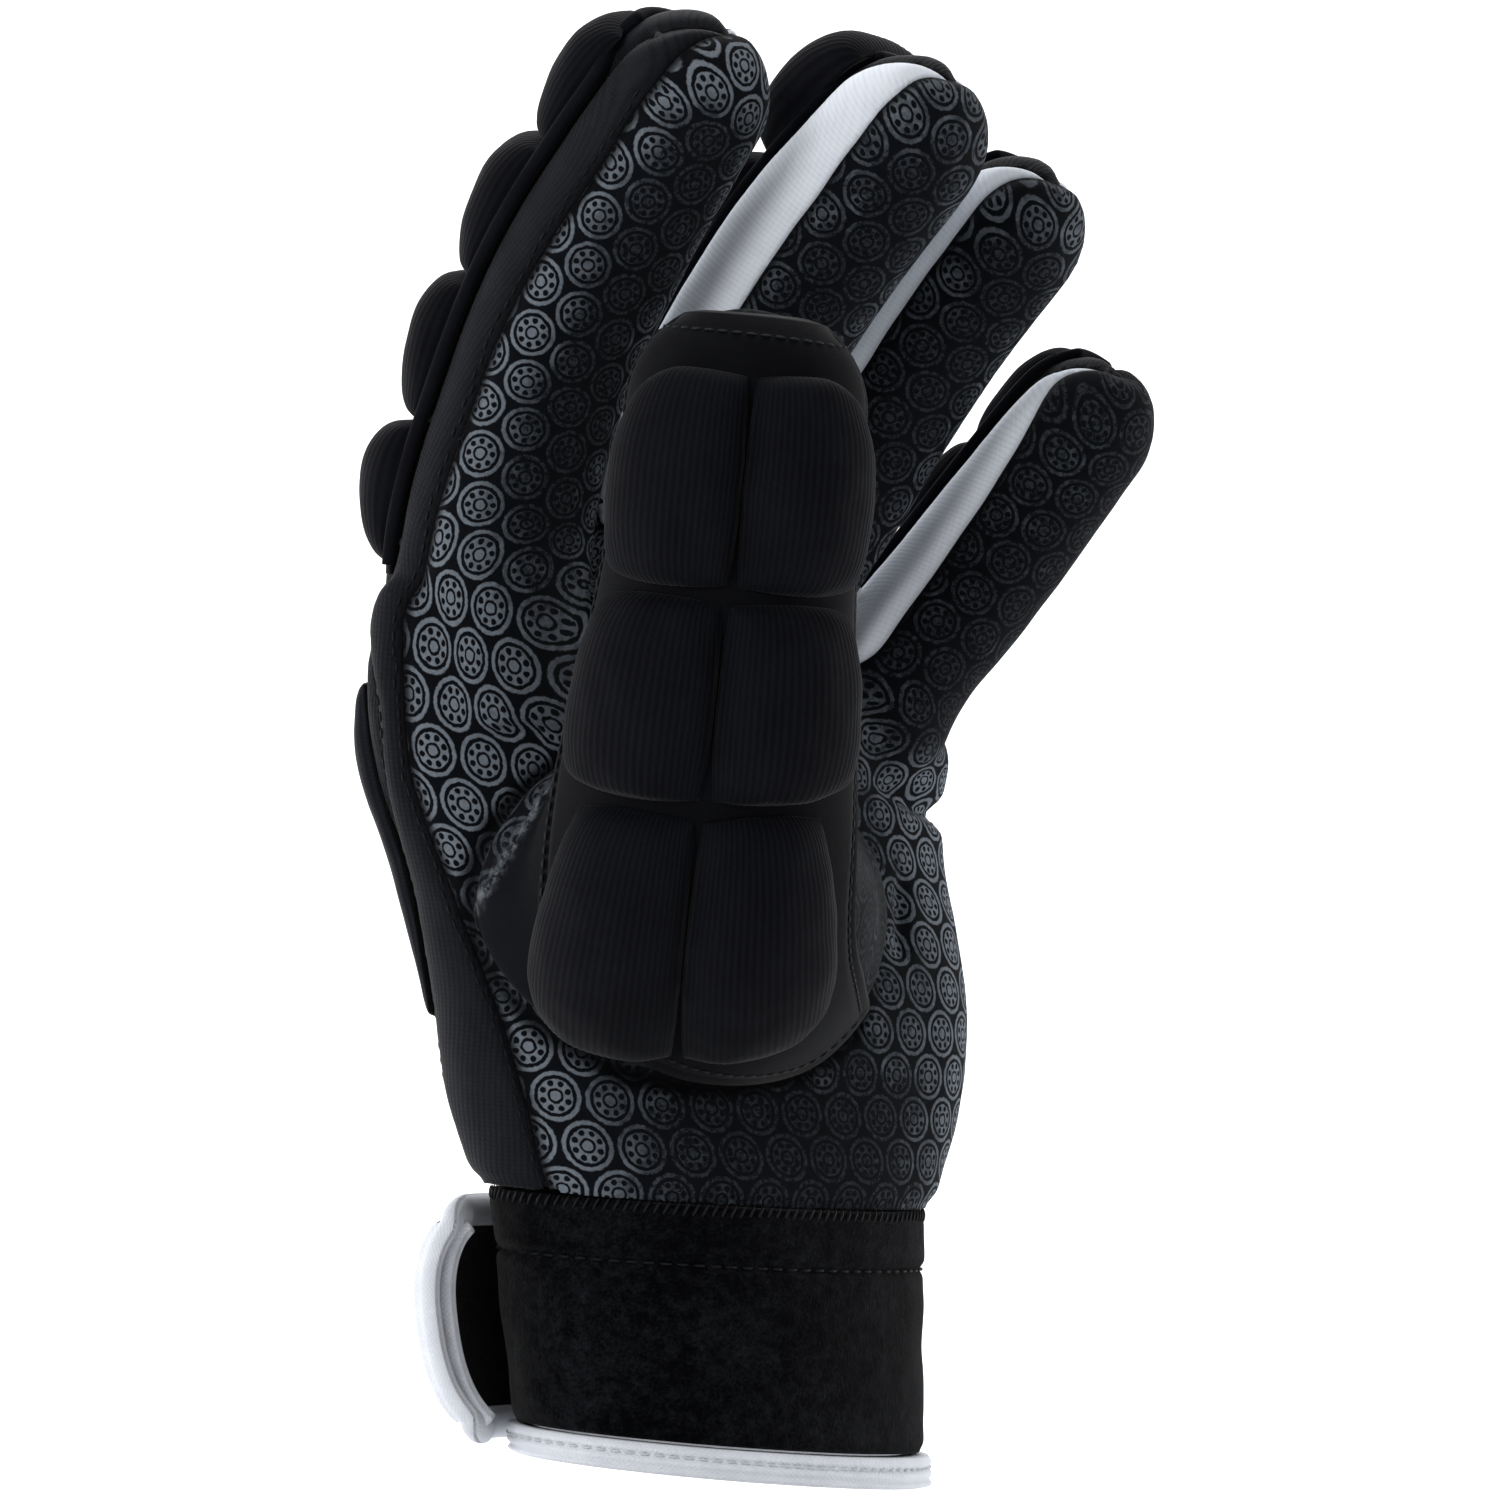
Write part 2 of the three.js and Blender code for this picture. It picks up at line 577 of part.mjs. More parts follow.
// Thumb
const skinClear = handSkin(CLEAR, SKIN_RUN_ON);
const skinApart = handSkin(GAP, SKIN_RUN_ON);
const thumbSkin = thumbSolid(0).subtract(thumbHole);
add("thumb_stall", geometryOf(thumbSkin.subtract(skinApart)), "print");
const thumbFront = thumb.wedge(THUMB_BASE_FROM, THUMB_BASE_TO, { start: STRIP_START, steps: THUMB_STEPS });
const thumbShell = thumbSolid(GAP + ARMOUR_BASE).subtract(thumbSolid(GAP));
add("thumb_armour_base", geometryOf(thumbShell.intersect(thumbFront).subtract(skinApart)), "ribbed");
for (const row of THUMB_PADS) {
  for (const [side, way] of [["right", -1], ["left", 1]]) {
    const low = GAP + ARMOUR_BASE + PAD_SEAT;
    const inner = row.split + (way * THUMB_PAD_GROOVE) / 2;
    const pad = thumb.sheet({
      from: row.from,
      to: row.to,
      start: inner,
      end: inner + way * row.side,
      low,
      high: padHeight(low, THUMB_PAD_HEIGHT),
    });
    add(`thumb_pad_${row.name}_${side}`, geometryOf(solidOf(pad).subtract(skinClear)), "ribbed");
  }
}

// Finger armour
for (const f of fingers) {
  const base = f.limb
    .solid(GAP + ARMOUR_BASE)
    .subtract(f.limb.solid(GAP))
    .intersect(f.limb.wedge(f.armour[0], f.armour[1], { start: f.pads[0] - ARMOUR_LEAD, stop: ARMOUR_END }))
    .subtract(skinClear);
  add(`${f.name}_armour_base`, geometryOf(base), "ribbed");
  for (let i = 0; i + 1 < f.pads.length; i++) {
    const low = GAP + ARMOUR_BASE + PAD_SEAT;
    const pad = f.limb.sheet({
      from: f.pads[i] + PAD_SPACE,
      to: f.pads[i + 1] - PAD_SPACE,
      start: f.armour[0] + PAD_INSET,
      end: f.armour[1] - PAD_INSET,
      low,
      high: padHeight(low, f.foam),
    });
    add(`${f.name}_pad_${i + 1}`, geometryOf(solidOf(pad).subtract(skinClear)), "ribbed");
  }
}

// Pad on the back of the hand
const backHeight = padHeight(2 * GAP, HAND_PAD_HEIGHT);
const backPad = hand.sheet({
  from: HAND_PAD.from,
  to: HAND_PAD.to,
  start: HAND_PAD.start,
  end: HAND_PAD.end,
  low: 2 * GAP,
  high: (u, v) => 2 * GAP + (backHeight(u, v) - 2 * GAP) * THREE.MathUtils.lerp(HAND_PAD_TAPER, 1, u),
  rows: HAND_PAD_ROWS,
  columns: HAND_PAD_COLUMNS,
});
add("hand_back_pad", geometryOf(solidOf(backPad).subtract(skinClear)), "knit");

// Cuff, hem binding and closing flap
const shareOfHeight = (height) => shareAtHeight(wrist, height);
function wristRing(low, high, inner, outer) {
  const from = shareOfHeight(low);
  const to = shareOfHeight(high);
  const shape = { sides: HAND_SIDES, steps: WRIST_STEPS };
  const body = wrist.solid(outer, { ...shape, from, to });
  const bore = wrist.solid(inner, { ...shape, from: from - BORE_PAST, to: to + BORE_PAST });
  return body.subtract(bore);
}
add("cuff_band", geometryOf(wristRing(HEM_HEIGHT + GAP, CUFF_TOP - GAP, -CUFF_WALL, 0)), "brushed");
add("hem_binding", geometryOf(wristRing(0, HEM_HEIGHT, -CUFF_WALL - HEM_PROUD, HEM_PROUD)), "white");
// The flap lies round the back and bows away from the cuff at its free end.
const flapLow = shareOfHeight(FLAP.low);
const flapHigh = shareOfHeight(FLAP.high);
const flapSeat = HEM_PROUD + 4 * GAP + BINDING_RADIUS;
const flapLift = (u, v) => flapSeat + FLAP_LIFT * Math.sin(Math.PI * u) * (1 - v) ** FLAP_CURL;
const flapUnder = (u, v) => (v > FLAP_SEWN ? 2 * GAP : flapLift(u, v) - FLAP_WALL / 2);
const bindingShare = (BINDING_RADIUS + 2 * GAP) / wrist.length / (flapHigh - flapLow);
const bindingTurn = (BINDING_RADIUS + 2 * GAP) / (radians(FLAP.to - FLAP.from) * WRIST[0].deep);
const flapU = (u) => bindingShare + u * (1 - 2 * bindingShare);
const flapV = (v) => bindingTurn + v * (1 - bindingTurn);
add(
  "closure_flap",
  wrist.sheet({
    from: THREE.MathUtils.lerp(flapLow, flapHigh, flapU(0)),
    to: THREE.MathUtils.lerp(flapLow, flapHigh, flapU(1)),
    start: THREE.MathUtils.lerp(FLAP.from, FLAP.to, flapV(0)),
    end: FLAP.to,
    low: (u, v) => flapUnder(flapU(u), flapV(v)),
    high: (u, v) => flapLift(flapU(u), flapV(v)) + FLAP_WALL / 2,
    rows: FLAP_ROWS,
    columns: FLAP_COLUMNS,
  }),
  "brushed",
);

// White binding along the flap's lower edge, its free end and its upper edge.
const edgePlace = (u, v) =>
  wrist.point(
    THREE.MathUtils.lerp(flapLow, flapHigh, u),
    THREE.MathUtils.lerp(FLAP.from, FLAP.to, v),
    flapLift(u, v),
  );
const alongEdge = [0.1, 0.25, 0.5, 0.75, 1]; // places on the long edges, from the free end to the sewn one
const acrossEnd = [0.06, 0.3, 0.5, 0.7, 0.94]; // places on the free end, from its lower to its upper corner
const edgeRoute = [
  ...alongEdge.toReversed().map((v) => edgePlace(0, v)),
  ...acrossEnd.map((u) => edgePlace(u, 0)),
  ...alongEdge.map((v) => edgePlace(1, v)),
];
const bindingShape = new THREE.Shape().absarc(0, 0, BINDING_RADIUS, 0, 2 * Math.PI);
const binding = new THREE.ExtrudeGeometry(bindingShape, {
  steps: BINDING_STEPS,
  curveSegments: BINDING_SIDES / 4,
  bevelEnabled: false,
  extrudePath: new THREE.CatmullRomCurve3(edgeRoute),
});
add("closure_flap_binding", geometryOf(solidOf(binding)), "white");

export default glove;
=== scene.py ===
"""Left glove for indoor hockey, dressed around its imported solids.

The part's frame holds: +Z runs from the cuff to the fingertips, the palm and the raised thumb's pads face -Y,
and the little finger is on the +X side. Sizes are in millimetres here and become metres in the meshes.
"""

import logging
import math
from dataclasses import dataclass, field
from enum import Enum
from typing import Any, Callable, ClassVar, Iterator, Sequence

import bpy
import numpy as np
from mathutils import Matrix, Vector, noise
from mathutils.bvhtree import BVHTree
from mathutils.kdtree import KDTree

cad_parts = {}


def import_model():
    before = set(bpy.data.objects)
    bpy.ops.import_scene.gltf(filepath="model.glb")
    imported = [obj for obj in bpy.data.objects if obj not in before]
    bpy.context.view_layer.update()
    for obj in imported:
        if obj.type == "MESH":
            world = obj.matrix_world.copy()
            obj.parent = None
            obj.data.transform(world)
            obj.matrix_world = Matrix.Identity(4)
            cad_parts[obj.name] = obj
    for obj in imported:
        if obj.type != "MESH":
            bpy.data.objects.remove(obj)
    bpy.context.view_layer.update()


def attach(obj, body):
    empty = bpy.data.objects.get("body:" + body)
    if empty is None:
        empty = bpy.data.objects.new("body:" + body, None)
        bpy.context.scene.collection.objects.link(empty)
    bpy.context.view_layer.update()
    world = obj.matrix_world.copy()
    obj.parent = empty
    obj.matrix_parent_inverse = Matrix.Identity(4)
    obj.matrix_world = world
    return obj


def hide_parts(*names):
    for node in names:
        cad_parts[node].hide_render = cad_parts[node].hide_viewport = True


LOG = logging.getLogger("glove")
MM = 0.001
BODY = "root"
Faces = list[tuple[int, ...]]  # the point numbers of each face
Colour = tuple[float, float, float, float]

# Driving sizes in millimetres. They follow the solids, but for the heights of the pads on the fingers and on
# the hand's back, the flap's bow and the ends of the index finger and the thumb, which follow the photograph.
GAP = 0.3
WALL = 2.2
SEWN_WALL = 0.8 * WALL  # wall of the skin and of the stall, whose seams are sewn flat
CUFF_WALL = 2.6
CUFF_TOP = 47.0
HEM_HEIGHT = 6.0
HEM_PROUD = 1.1
HEM_LOW = 1.4  # where the tape starts to turn under the cuff
HEM_SEAM = 3.9  # height of the stitches in the tape
ARMOUR_BASE = 1.8
THUMB_PAD_HEIGHT = 7.0
HAND_PAD_HEIGHT = 7.8
HAND_PAD_TAPER = 0.34
PAD_EDGE = 0.8
SHEET_OUT = 1.1  # outer face of the sheet under the finger pads, over the finger's wall
FLAP_WALL = 2.0
FLAP_LIFT = 11.7
BINDING_RADIUS = 2.9

PHOTO_SPAN = 1500 / 5.86  # width of the photograph's frame at the glove's middle, in millimetres
CAMERA_DISTANCE = 1800.0
CAMERA_PLACE = (5.12, 123.2)  # where the camera's axis passes the glove: x and z


class Slot(Enum):
    """The record's material slots."""

    SUEDE = "printed_suede"
    KNIT = "black_knit"
    WHITE = "white_ribbed"
    FOAM = "ribbed_foam"
    LOOP = "brushed_loop"
    BINDING = "white_binding"


class Panel(Enum):
    """The sewn panels of the hand's skin, by the node that each stands for."""

    PALM = "palm_panel"
    SIDE = "index_side_panel"
    INDEX_MIDDLE = "fourchette_index_middle"
    MIDDLE_RING = "fourchette_middle_ring"
    RING_LITTLE = "fourchette_ring_little"
    BACK = "back_panel"


@dataclass(frozen=True)
class Section:
    """One section of a limb: its middle, half width, half depth, turn and, if given, tilts."""

    x: float
    y: float
    z: float
    wide: float
    deep: float
    roll: float
    lean: float | None = None
    pitch: float | None = None


HAND = (
    Section(-2, 0, 40, 41.5, 26, 35, 4, 0),
    Section(-2.6, 0, 50, 45.4, 25.5, 35, 4, 0),
    Section(-3.0, 0, 63, 49.8, 24, 33, 5, 0),
    Section(-3.2, 0, 80, 52.9, 22.5, 33, 6, 0),
    Section(-5.9, 0, 97, 53.7, 21, 32, 7, 0),
    Section(-9.5, 0, 112, 56, 20, 32, 9, 0),
    Section(-10.5, 0, 127, 57.5, 19, 32, 11, 0),
    Section(-9.5, 0, 138, 56.5, 17, 33, 14, 0),
    Section(-7, 0, 147, 50, 14.5, 35, 17, 0),
)
HAND_TIP = 9.0
THUMB = (
    Section(-6, -6, 94, 34, 31, 0, 0, 82),
    Section(-6, -24, 97, 32.5, 28, 0, 0, 66),
    Section(-5, -38, 104, 28.5, 25, 0, 1, 40),
    Section(-2.5, -48, 118, 24, 21, 0, 3, 18),
    Section(0, -54, 138, 20.8, 18, 0, 5, 8),
    Section(2.5, -57, 160, 18.8, 16.4, 0, 5, 3),
    Section(4.5, -58, 180, 18.2, 15.4, 0, 5, 0),
    Section(6, -58, 196, 17.6, 14.4, 0, 5, 0),
)
THUMB_TIP = 16.0
WRIST = (
    Section(0.5, 0, -6, 39, 26.5, 35, 6.2, 0),
    Section(0.2, 0, 0, 39, 26.5, 35, 6.2, 0),
    Section(-0.6, 0, 16, 39.2, 26.6, 35, 5, 0),
    Section(-1.4, 0, 32, 40.4, 26.4, 35, 4, 0),
    Section(-2, 0, 48, 42, 26, 35, 4, 0),
)
ARMOUR_END = 0.935  # share of a finger at which its sheet and cord end
# The black side panel lies between these angles round the hand, by height.
SIDE_HEIGHTS = (40, 53, 63, 72, 80, 97, 107, 117, 130, 138, 147)
SIDE_FROM = (157, 154.5, 151, 152, 155, 162.5, 165, 165.5, 164, 163.5, 168)
SIDE_TO = (208, 202, 199, 197, 196, 194, 194, 187, 179, 188, 200)


def smooth(low: float, high: float, value: np.ndarray | float) -> np.ndarray:
    """Rises smoothly from 0 at low to 1 at high."""
    part = np.clip((np.asarray(value, dtype=float) - low) / (high - low), 0, 1)
    return part * part * (3 - 2 * part)


def bell(value: np.ndarray | float, width: float) -> np.ndarray:
    """A bell curve of height 1 round 0."""
    return np.exp(-((np.asarray(value, dtype=float) / width) ** 2))


def wrapped(degrees: np.ndarray | float) -> np.ndarray | float:
    """The same angle between -180 and 180 degrees."""
    return (degrees + 180) % 360 - 180


def eased(value: np.ndarray) -> np.ndarray:
    """Shares from 0 to 1, drawn together at both ends."""
    return 0.5 - 0.5 * np.cos(math.pi * value)


def run_along(route: np.ndarray) -> np.ndarray:
    """Distance along a route at each of its points."""
    return np.concatenate([[0], np.cumsum(np.linalg.norm(np.diff(route, axis=0), axis=1))])


def unit(vectors: np.ndarray) -> np.ndarray:
    """The same directions, one a row, with length 1."""
    return vectors / np.maximum(np.linalg.norm(vectors, axis=1, keepdims=True), 1e-9)


def unrolled(degrees: np.ndarray, radius: float, run: np.ndarray) -> np.ndarray:
    """A tube's flat map: across it the angles as arcs of a radius, and up it the distances."""
    return np.stack(np.broadcast_arrays(np.radians(degrees) * radius, run), -1).reshape(-1, 2)


def edges_of(face: Sequence[int]) -> Iterator[tuple[int, int]]:
    """The edges round a face, each from its first point to its second."""
    return zip(face, [*face[1:], face[0]])


def distances(points: np.ndarray, targets: np.ndarray) -> np.ndarray:
    """How far each point is from the nearest target."""
    tree = KDTree(len(targets))
    for i, target in enumerate(targets.tolist()):
        tree.insert(target, i)
    tree.balance()
    return np.array([tree.find(p)[2] for p in points.tolist()])


def ripple(points: np.ndarray, size: float, seed: float = 0.0) -> np.ndarray:
    """Smooth noise between about -1 and 1.

    Args:
        points: Places in millimetres.
        size: Distance between bumps in millimetres.
        seed: Moves the noise, so that two pieces differ.

    Returns:
        One value for each point.
    """
    shifted = points / size + seed
    return np.array([noise.noise(Vector(p)) for p in shifted.tolist()])


class Limb:
    """A soft tube with an oval section that changes along its middle line and may end in a rounded tip."""

    STATIONS = 401

    def __init__(self, rows: Sequence[Section], tip: float = 0.0) -> None:
        """Works out the middle line and the sections.

        Args:
            rows: The sections from the root to the tip.
            tip: Length of the rounded tip in millimetres, or 0 for an open end.
        """
        fine = np.linspace(0, 1, 4 * self.STATIONS)
        middle = self._curve(np.array([(r.x, r.y, r.z) for r in rows], float), fine, centripetal=True)
        oval = self._curve(np.array([(r.wide, r.deep, r.roll) for r in rows], float), fine)
        run = run_along(middle)
        self.length = float(run[-1])
        self.tip = tip
        self.grid = np.linspace(0, 1, self.STATIONS)
        place = np.interp(self.grid * self.length, run, fine)
        self.centre = self._pick(fine, middle, place)
        self.oval = self._pick(fine, oval, place)
        if rows[0].lean is None:
            along = np.gradient(self.centre, axis=0)
        else:
            aim = self._curve(np.array([(r.lean, r.pitch, 0) for r in rows], float), fine)
            lean, pitch, _ = np.radians(self._pick(fine, aim, place)).T
            along = np.stack([np.sin(lean) * np.cos(pitch), -np.sin(pitch), np.cos(lean) * np.cos(pitch)], -1)
        self.along = unit(along)
        roll = np.radians(self.oval[:, 2])
        across = np.stack([np.cos(roll), np.sin(roll), 0 * roll], -1)
        across -= self.along * np.sum(across * self.along, axis=1, keepdims=True)
        self.across = unit(across)
        self.palmward = np.cross(self.across, self.along)

    @staticmethod
    def _curve(rows: np.ndarray, t: np.ndarray, centripetal: bool = False) -> np.ndarray:
        """A Catmull-Rom curve through rows at the places t, from 0 to 1."""
        ends = np.vstack([2 * rows[0] - rows[1], rows, 2 * rows[-1] - rows[-2]])
        last = len(rows) - 1
        start = np.minimum((t * last).astype(int), last - 1)
        part = (t * last - start)[:, None]
        p0, p1, p2, p3 = (ends[start + i] for i in range(4))
        if centripetal:
            pairs = ((p0, p1), (p1, p2), (p2, p3))
            d0, d1, d2 = (np.linalg.norm(b - a, axis=1, keepdims=True) ** 0.5 for a, b in pairs)
            t1 = ((p1 - p0) / d0 - (p2 - p0) / (d0 + d1) + (p2 - p1) / d1) * d1
            t2 = ((p2 - p1) / d1 - (p3 - p1) / (d1 + d2) + (p3 - p2) / d2) * d1
        else:
            t1 = (p2 - p0) / 2
            t2 = (p3 - p1) / 2
        c2 = -3 * p1 + 3 * p2 - 2 * t1 - t2
        c3 = 2 * p1 - 2 * p2 + t1 + t2
        return p1 + part * (t1 + part * (c2 + part * c3))

    @staticmethod
    def _pick(grid: np.ndarray, values: np.ndarray, place: np.ndarray) -> np.ndarray:
        """Interpolates each column of values from grid to place."""
        columns = [np.interp(place, grid, values[:, i]) for i in range(values.shape[1])]
        return np.stack(columns, axis=-1)

    def round_at(self, share: np.ndarray) -> np.ndarray:
        """How much of the full section is left at a share of the length: 1, or less over the tip."""
        if not self.tip:
            return np.ones_like(share)
        left = np.clip((1 - share) * self.length / self.tip, 0, 1)
        return np.sqrt(np.maximum(0, 1 - (1 - left) ** 2))

    def point(self, share: Any, degrees: Any, out: Any = 0.0) -> np.ndarray:
        """Points on the wall.

        Args:
            share: Shares of the length.
            degrees: Angles round the section.
            out: Distances out from the wall.

        Returns:
            The points, in an array with one more axis.
        """
        share, degrees, out = np.broadcast_arrays(*(np.asarray(v, float) for v in (share, degrees, out)))
        inside = np.clip(share, 0, 1)
        centre, along, across, palmward, oval = self.frame(inside)
        round_left = self.round_at(inside)
        forward = out * np.sqrt(1 - round_left**2)
        angle = np.radians(degrees)
        sideways = (oval[..., 0] + out) * round_left * np.cos(angle)
        frontways = (oval[..., 1] + out) * round_left * np.sin(angle)
        moved = centre + along * forward[..., None]
        return moved + across * sideways[..., None] + palmward * frontways[..., None]

    def pick(self, values: np.ndarray, share: np.ndarray) -> np.ndarray:
        """One of the limb's tables, such as its middle line, at shares of the length."""
        return self._pick(self.grid, values, share)

    def frame(self, share: np.ndarray) -> list[np.ndarray]:
        """The middle, the directions along, across and palmward, and the section at shares of the length."""
        tables = (self.centre, self.along, self.across, self.palmward, self.oval)
        return [self.pick(values, share) for values in tables]

    def out_of(self, places: np.ndarray) -> np.ndarray:
        """Directions from the middle line to places, one a row and not yet of length 1."""
        return places - self.pick(self.centre, self.locate(places)[0])

    def locate(self, points: np.ndarray) -> tuple[np.ndarray, np.ndarray, np.ndarray]:
        """Finds where points lie in the limb's own terms.

        Args:
            points: Places in millimetres, one a row.

        Returns:
            The share of the length, the angle in degrees from 0 to 360, and the distance from the middle
            line as a share of the wall's.
        """
        picks = np.arange(0, self.STATIONS, 4)
        centres = self.centre[picks]
        far = (points**2).sum(1)[:, None] - 2 * points @ centres.T + (centres**2).sum(1)[None, :]
        near = picks[far.argmin(1)]
        axial = np.sum((points - self.centre[near]) * self.along[near], axis=1)
        share = np.clip(self.grid[near] + axial / self.length, 0, 1)
        centre, _, across, palmward, oval = self.frame(share)
        away = points - centre
        a = np.sum(away * across, axis=1) / oval[:, 0]
        b = np.sum(away * palmward, axis=1) / oval[:, 1]
        ratio = np.hypot(a, b) / np.maximum(self.round_at(share), 0.05)
        return share, np.degrees(np.arctan2(b, a)) % 360, ratio

    def share_at_height(self, height: float) -> float:
        """The share of the length at which the middle line reaches a height."""
        return float(np.interp(height, self.centre[:, 2], self.grid))


@dataclass(frozen=True)
class Finger:
    """A finger: its sections, tip, pads and seams.

    print_edge gives the angle of the print's index-side seam at shares of the length, and foam the height of
    each pad.
    """

    name: str
    rows: tuple[Section, ...]
    tip: float
    pads: tuple[float, ...]
    foam: tuple[float, ...]
    print_edge: tuple[tuple[float, float], ...]
    armour_from: float
    armour_to: float = 322
    print_from: float = 40

    def print_to(self, share: np.ndarray | float) -> np.ndarray:
        """Angle of the print's index-side seam."""
        return np.interp(share, *zip(*self.print_edge))

    @property
    def edge_from(self) -> float:
        """Angle at which the sheet and its cord start: behind the white strip on all but the index finger."""
        return self.armour_from + {"index": 0, "middle": 4}.get(self.name, 8)

    def limb(self) -> Limb:
        """The finger's tube."""
        return Limb(self.rows, self.tip)


FINGERS = (
    Finger(
        "index",
        (
            Section(-38, -20, 128, 15.5, 15.5, 50),
            Section(-38.5, -21, 156, 16.8, 16.4, 55),
            Section(-32.3, -23, 183, 16.4, 15.6, 60),
            Section(-24, -27, 203, 16.6, 15.4, 60),
            Section(-13.8, -32, 220.5, 15.8, 14.8, 60),
            Section(-4.7, -37, 234, 14.8, 14, 60),
            Section(1.9, -42, 242.9, 13.6, 13.2, 60),
        ),
        tip=13,
        pads=(0.2, 0.366, 0.552, 0.743, 0.925),
        foam=(9.0, 7.6, 7.5, 7.4),
        print_edge=((0.1, 195), (0.2, 190), (0.3, 182.5), (0.5, 181), (0.65, 176), (0.8, 174), (0.93, 176),
                    (1, 188)),
        armour_from=218,
    ),
    Finger(
        "middle",
        (
            Section(-24, -7, 128, 14, 14, 38),
            Section(-13, -8, 154, 14.6, 14.6, 38),
            Section(-5, -9, 171, 15, 15, 38),
            Section(3.5, -11, 188, 15.2, 15, 38),
            Section(14.5, -16, 206, 15.2, 14.8, 38),
            Section(27.5, -23, 222, 14.8, 14.2, 38),
            Section(39.5, -31, 236, 13.6, 13, 38),
        ),
        tip=14,
        pads=(0.19, 0.37, 0.56, 0.745, 0.935),
        foam=(8.5, 8.5, 8.5, 10.8),
        print_edge=((0.5, 154), (0.6, 154.5), (0.7, 157), (0.8, 160), (0.9, 166), (0.96, 173), (1, 195)),
        armour_from=232,
    ),
    Finger(
        "ring",
        (
            Section(-4, 8, 126, 13.4, 13.4, 38),
            Section(8.5, 10, 152, 14, 14, 38),
            Section(18.5, 10, 169, 14.4, 14.2, 38),
            Section(28.8, 8, 185.1, 13.9, 13.7, 38),
            Section(38.3, 4, 198.2, 13.5, 13.2, 38),
            Section(48.2, -2, 210.1, 13, 12.6, 38),
            Section(57.6, -9, 219.7, 12.4, 11.8, 38),
        ),
        tip=13,
        pads=(0.19, 0.37, 0.56, 0.745, 0.91),
        foam=(5.0, 5.0, 5.0, 3.7),
        print_edge=((0.5, 158), (0.6, 160), (0.7, 166), (0.8, 171), (0.9, 177), (0.95, 189), (1, 210)),
        armour_from=232,
    ),
    Finger(
        "little",
        (
            Section(16, 18, 114, 12.6, 12.6, 38),
            Section(30, 21, 137, 13.2, 13, 38),
            Section(42, 22, 152, 13.2, 12.8, 38),
            Section(53.5, 20, 167, 12.8, 12.4, 38),
            Section(62.5, 16, 178.5, 12.2, 11.8, 38),
            Section(71, 11, 186.5, 11, 10.6, 38),
        ),
        tip=12,
        pads=(0.27, 0.49, 0.71, 0.92),
        foam=(6.0, 6.0, 4.2),
        print_edge=((0.2, 144), (0.3, 150), (0.4, 156), (0.5, 160), (0.65, 166), (0.8, 176), (0.87, 188),
                    (0.92, 212), (1, 225)),
        armour_from=228,
        print_from=-36,
    ),
)


@dataclass(frozen=True)
class Crotch:
    """A white strip between two fingers, and the heights of the middle lines at which it starts."""

    panel: Panel
    first: int
    second: int
    first_from: float
    second_from: float


CROTCHES = (
    Crotch(Panel.INDEX_MIDDLE, 0, 1, 152, 146),
    Crotch(Panel.MIDDLE_RING, 1, 2, 147, 137),
    Crotch(Panel.RING_LITTLE, 2, 3, 132, 119),
)


def operator(operation: str, swapped: bool = False) -> Callable[["Value", Any], "Value"]:
    """Makes a method of two values that adds a Math node.

    Args:
        operation: The Math node's operation.
        swapped: Whether the other value comes first.

    Returns:
        The method.
    """

    def method(self: "Value", other: Any) -> "Value":
        """The Math node on this value and another."""
        return self.shader.maths(operation, *((other, self) if swapped else (self, other)))

    return method


class Value:
    """A shader socket that takes part in Python maths."""

    __add__ = __radd__ = operator("ADD")
    __sub__, __rsub__ = operator("SUBTRACT"), operator("SUBTRACT", swapped=True)
    __mul__ = __rmul__ = operator("MULTIPLY")
    __truediv__ = operator("DIVIDE")
    __lt__ = operator("LESS_THAN")
    at_most = operator("MINIMUM")

    def __init__(self, shader: "Shader", socket: bpy.types.NodeSocket) -> None:
        """Wraps a socket of a shader's node."""
        self.shader = shader
        self.socket = socket

    def call(self, operation: str) -> "Value":
        """A Math node of one input, such as FRACT or SINE."""
        return self.shader.maths(operation, self)

    def ridges(self, pitch: float) -> "Value":
        """Rounded ridges from 0 to 1, a pitch apart."""
        return (self * (math.pi / pitch)).call("SINE").call("ABSOLUTE")

    def rise(self, low: float, high: float) -> "Value":
        """Rises smoothly from 0 at low to 1 at high, or falls if low is the greater."""
        settings = {"interpolation_type": "SMOOTHSTEP"}
        inputs = {"Value": self, "From Min": low, "From Max": high}
        return self.shader.node("ShaderNodeMapRange", settings, inputs, "Result")


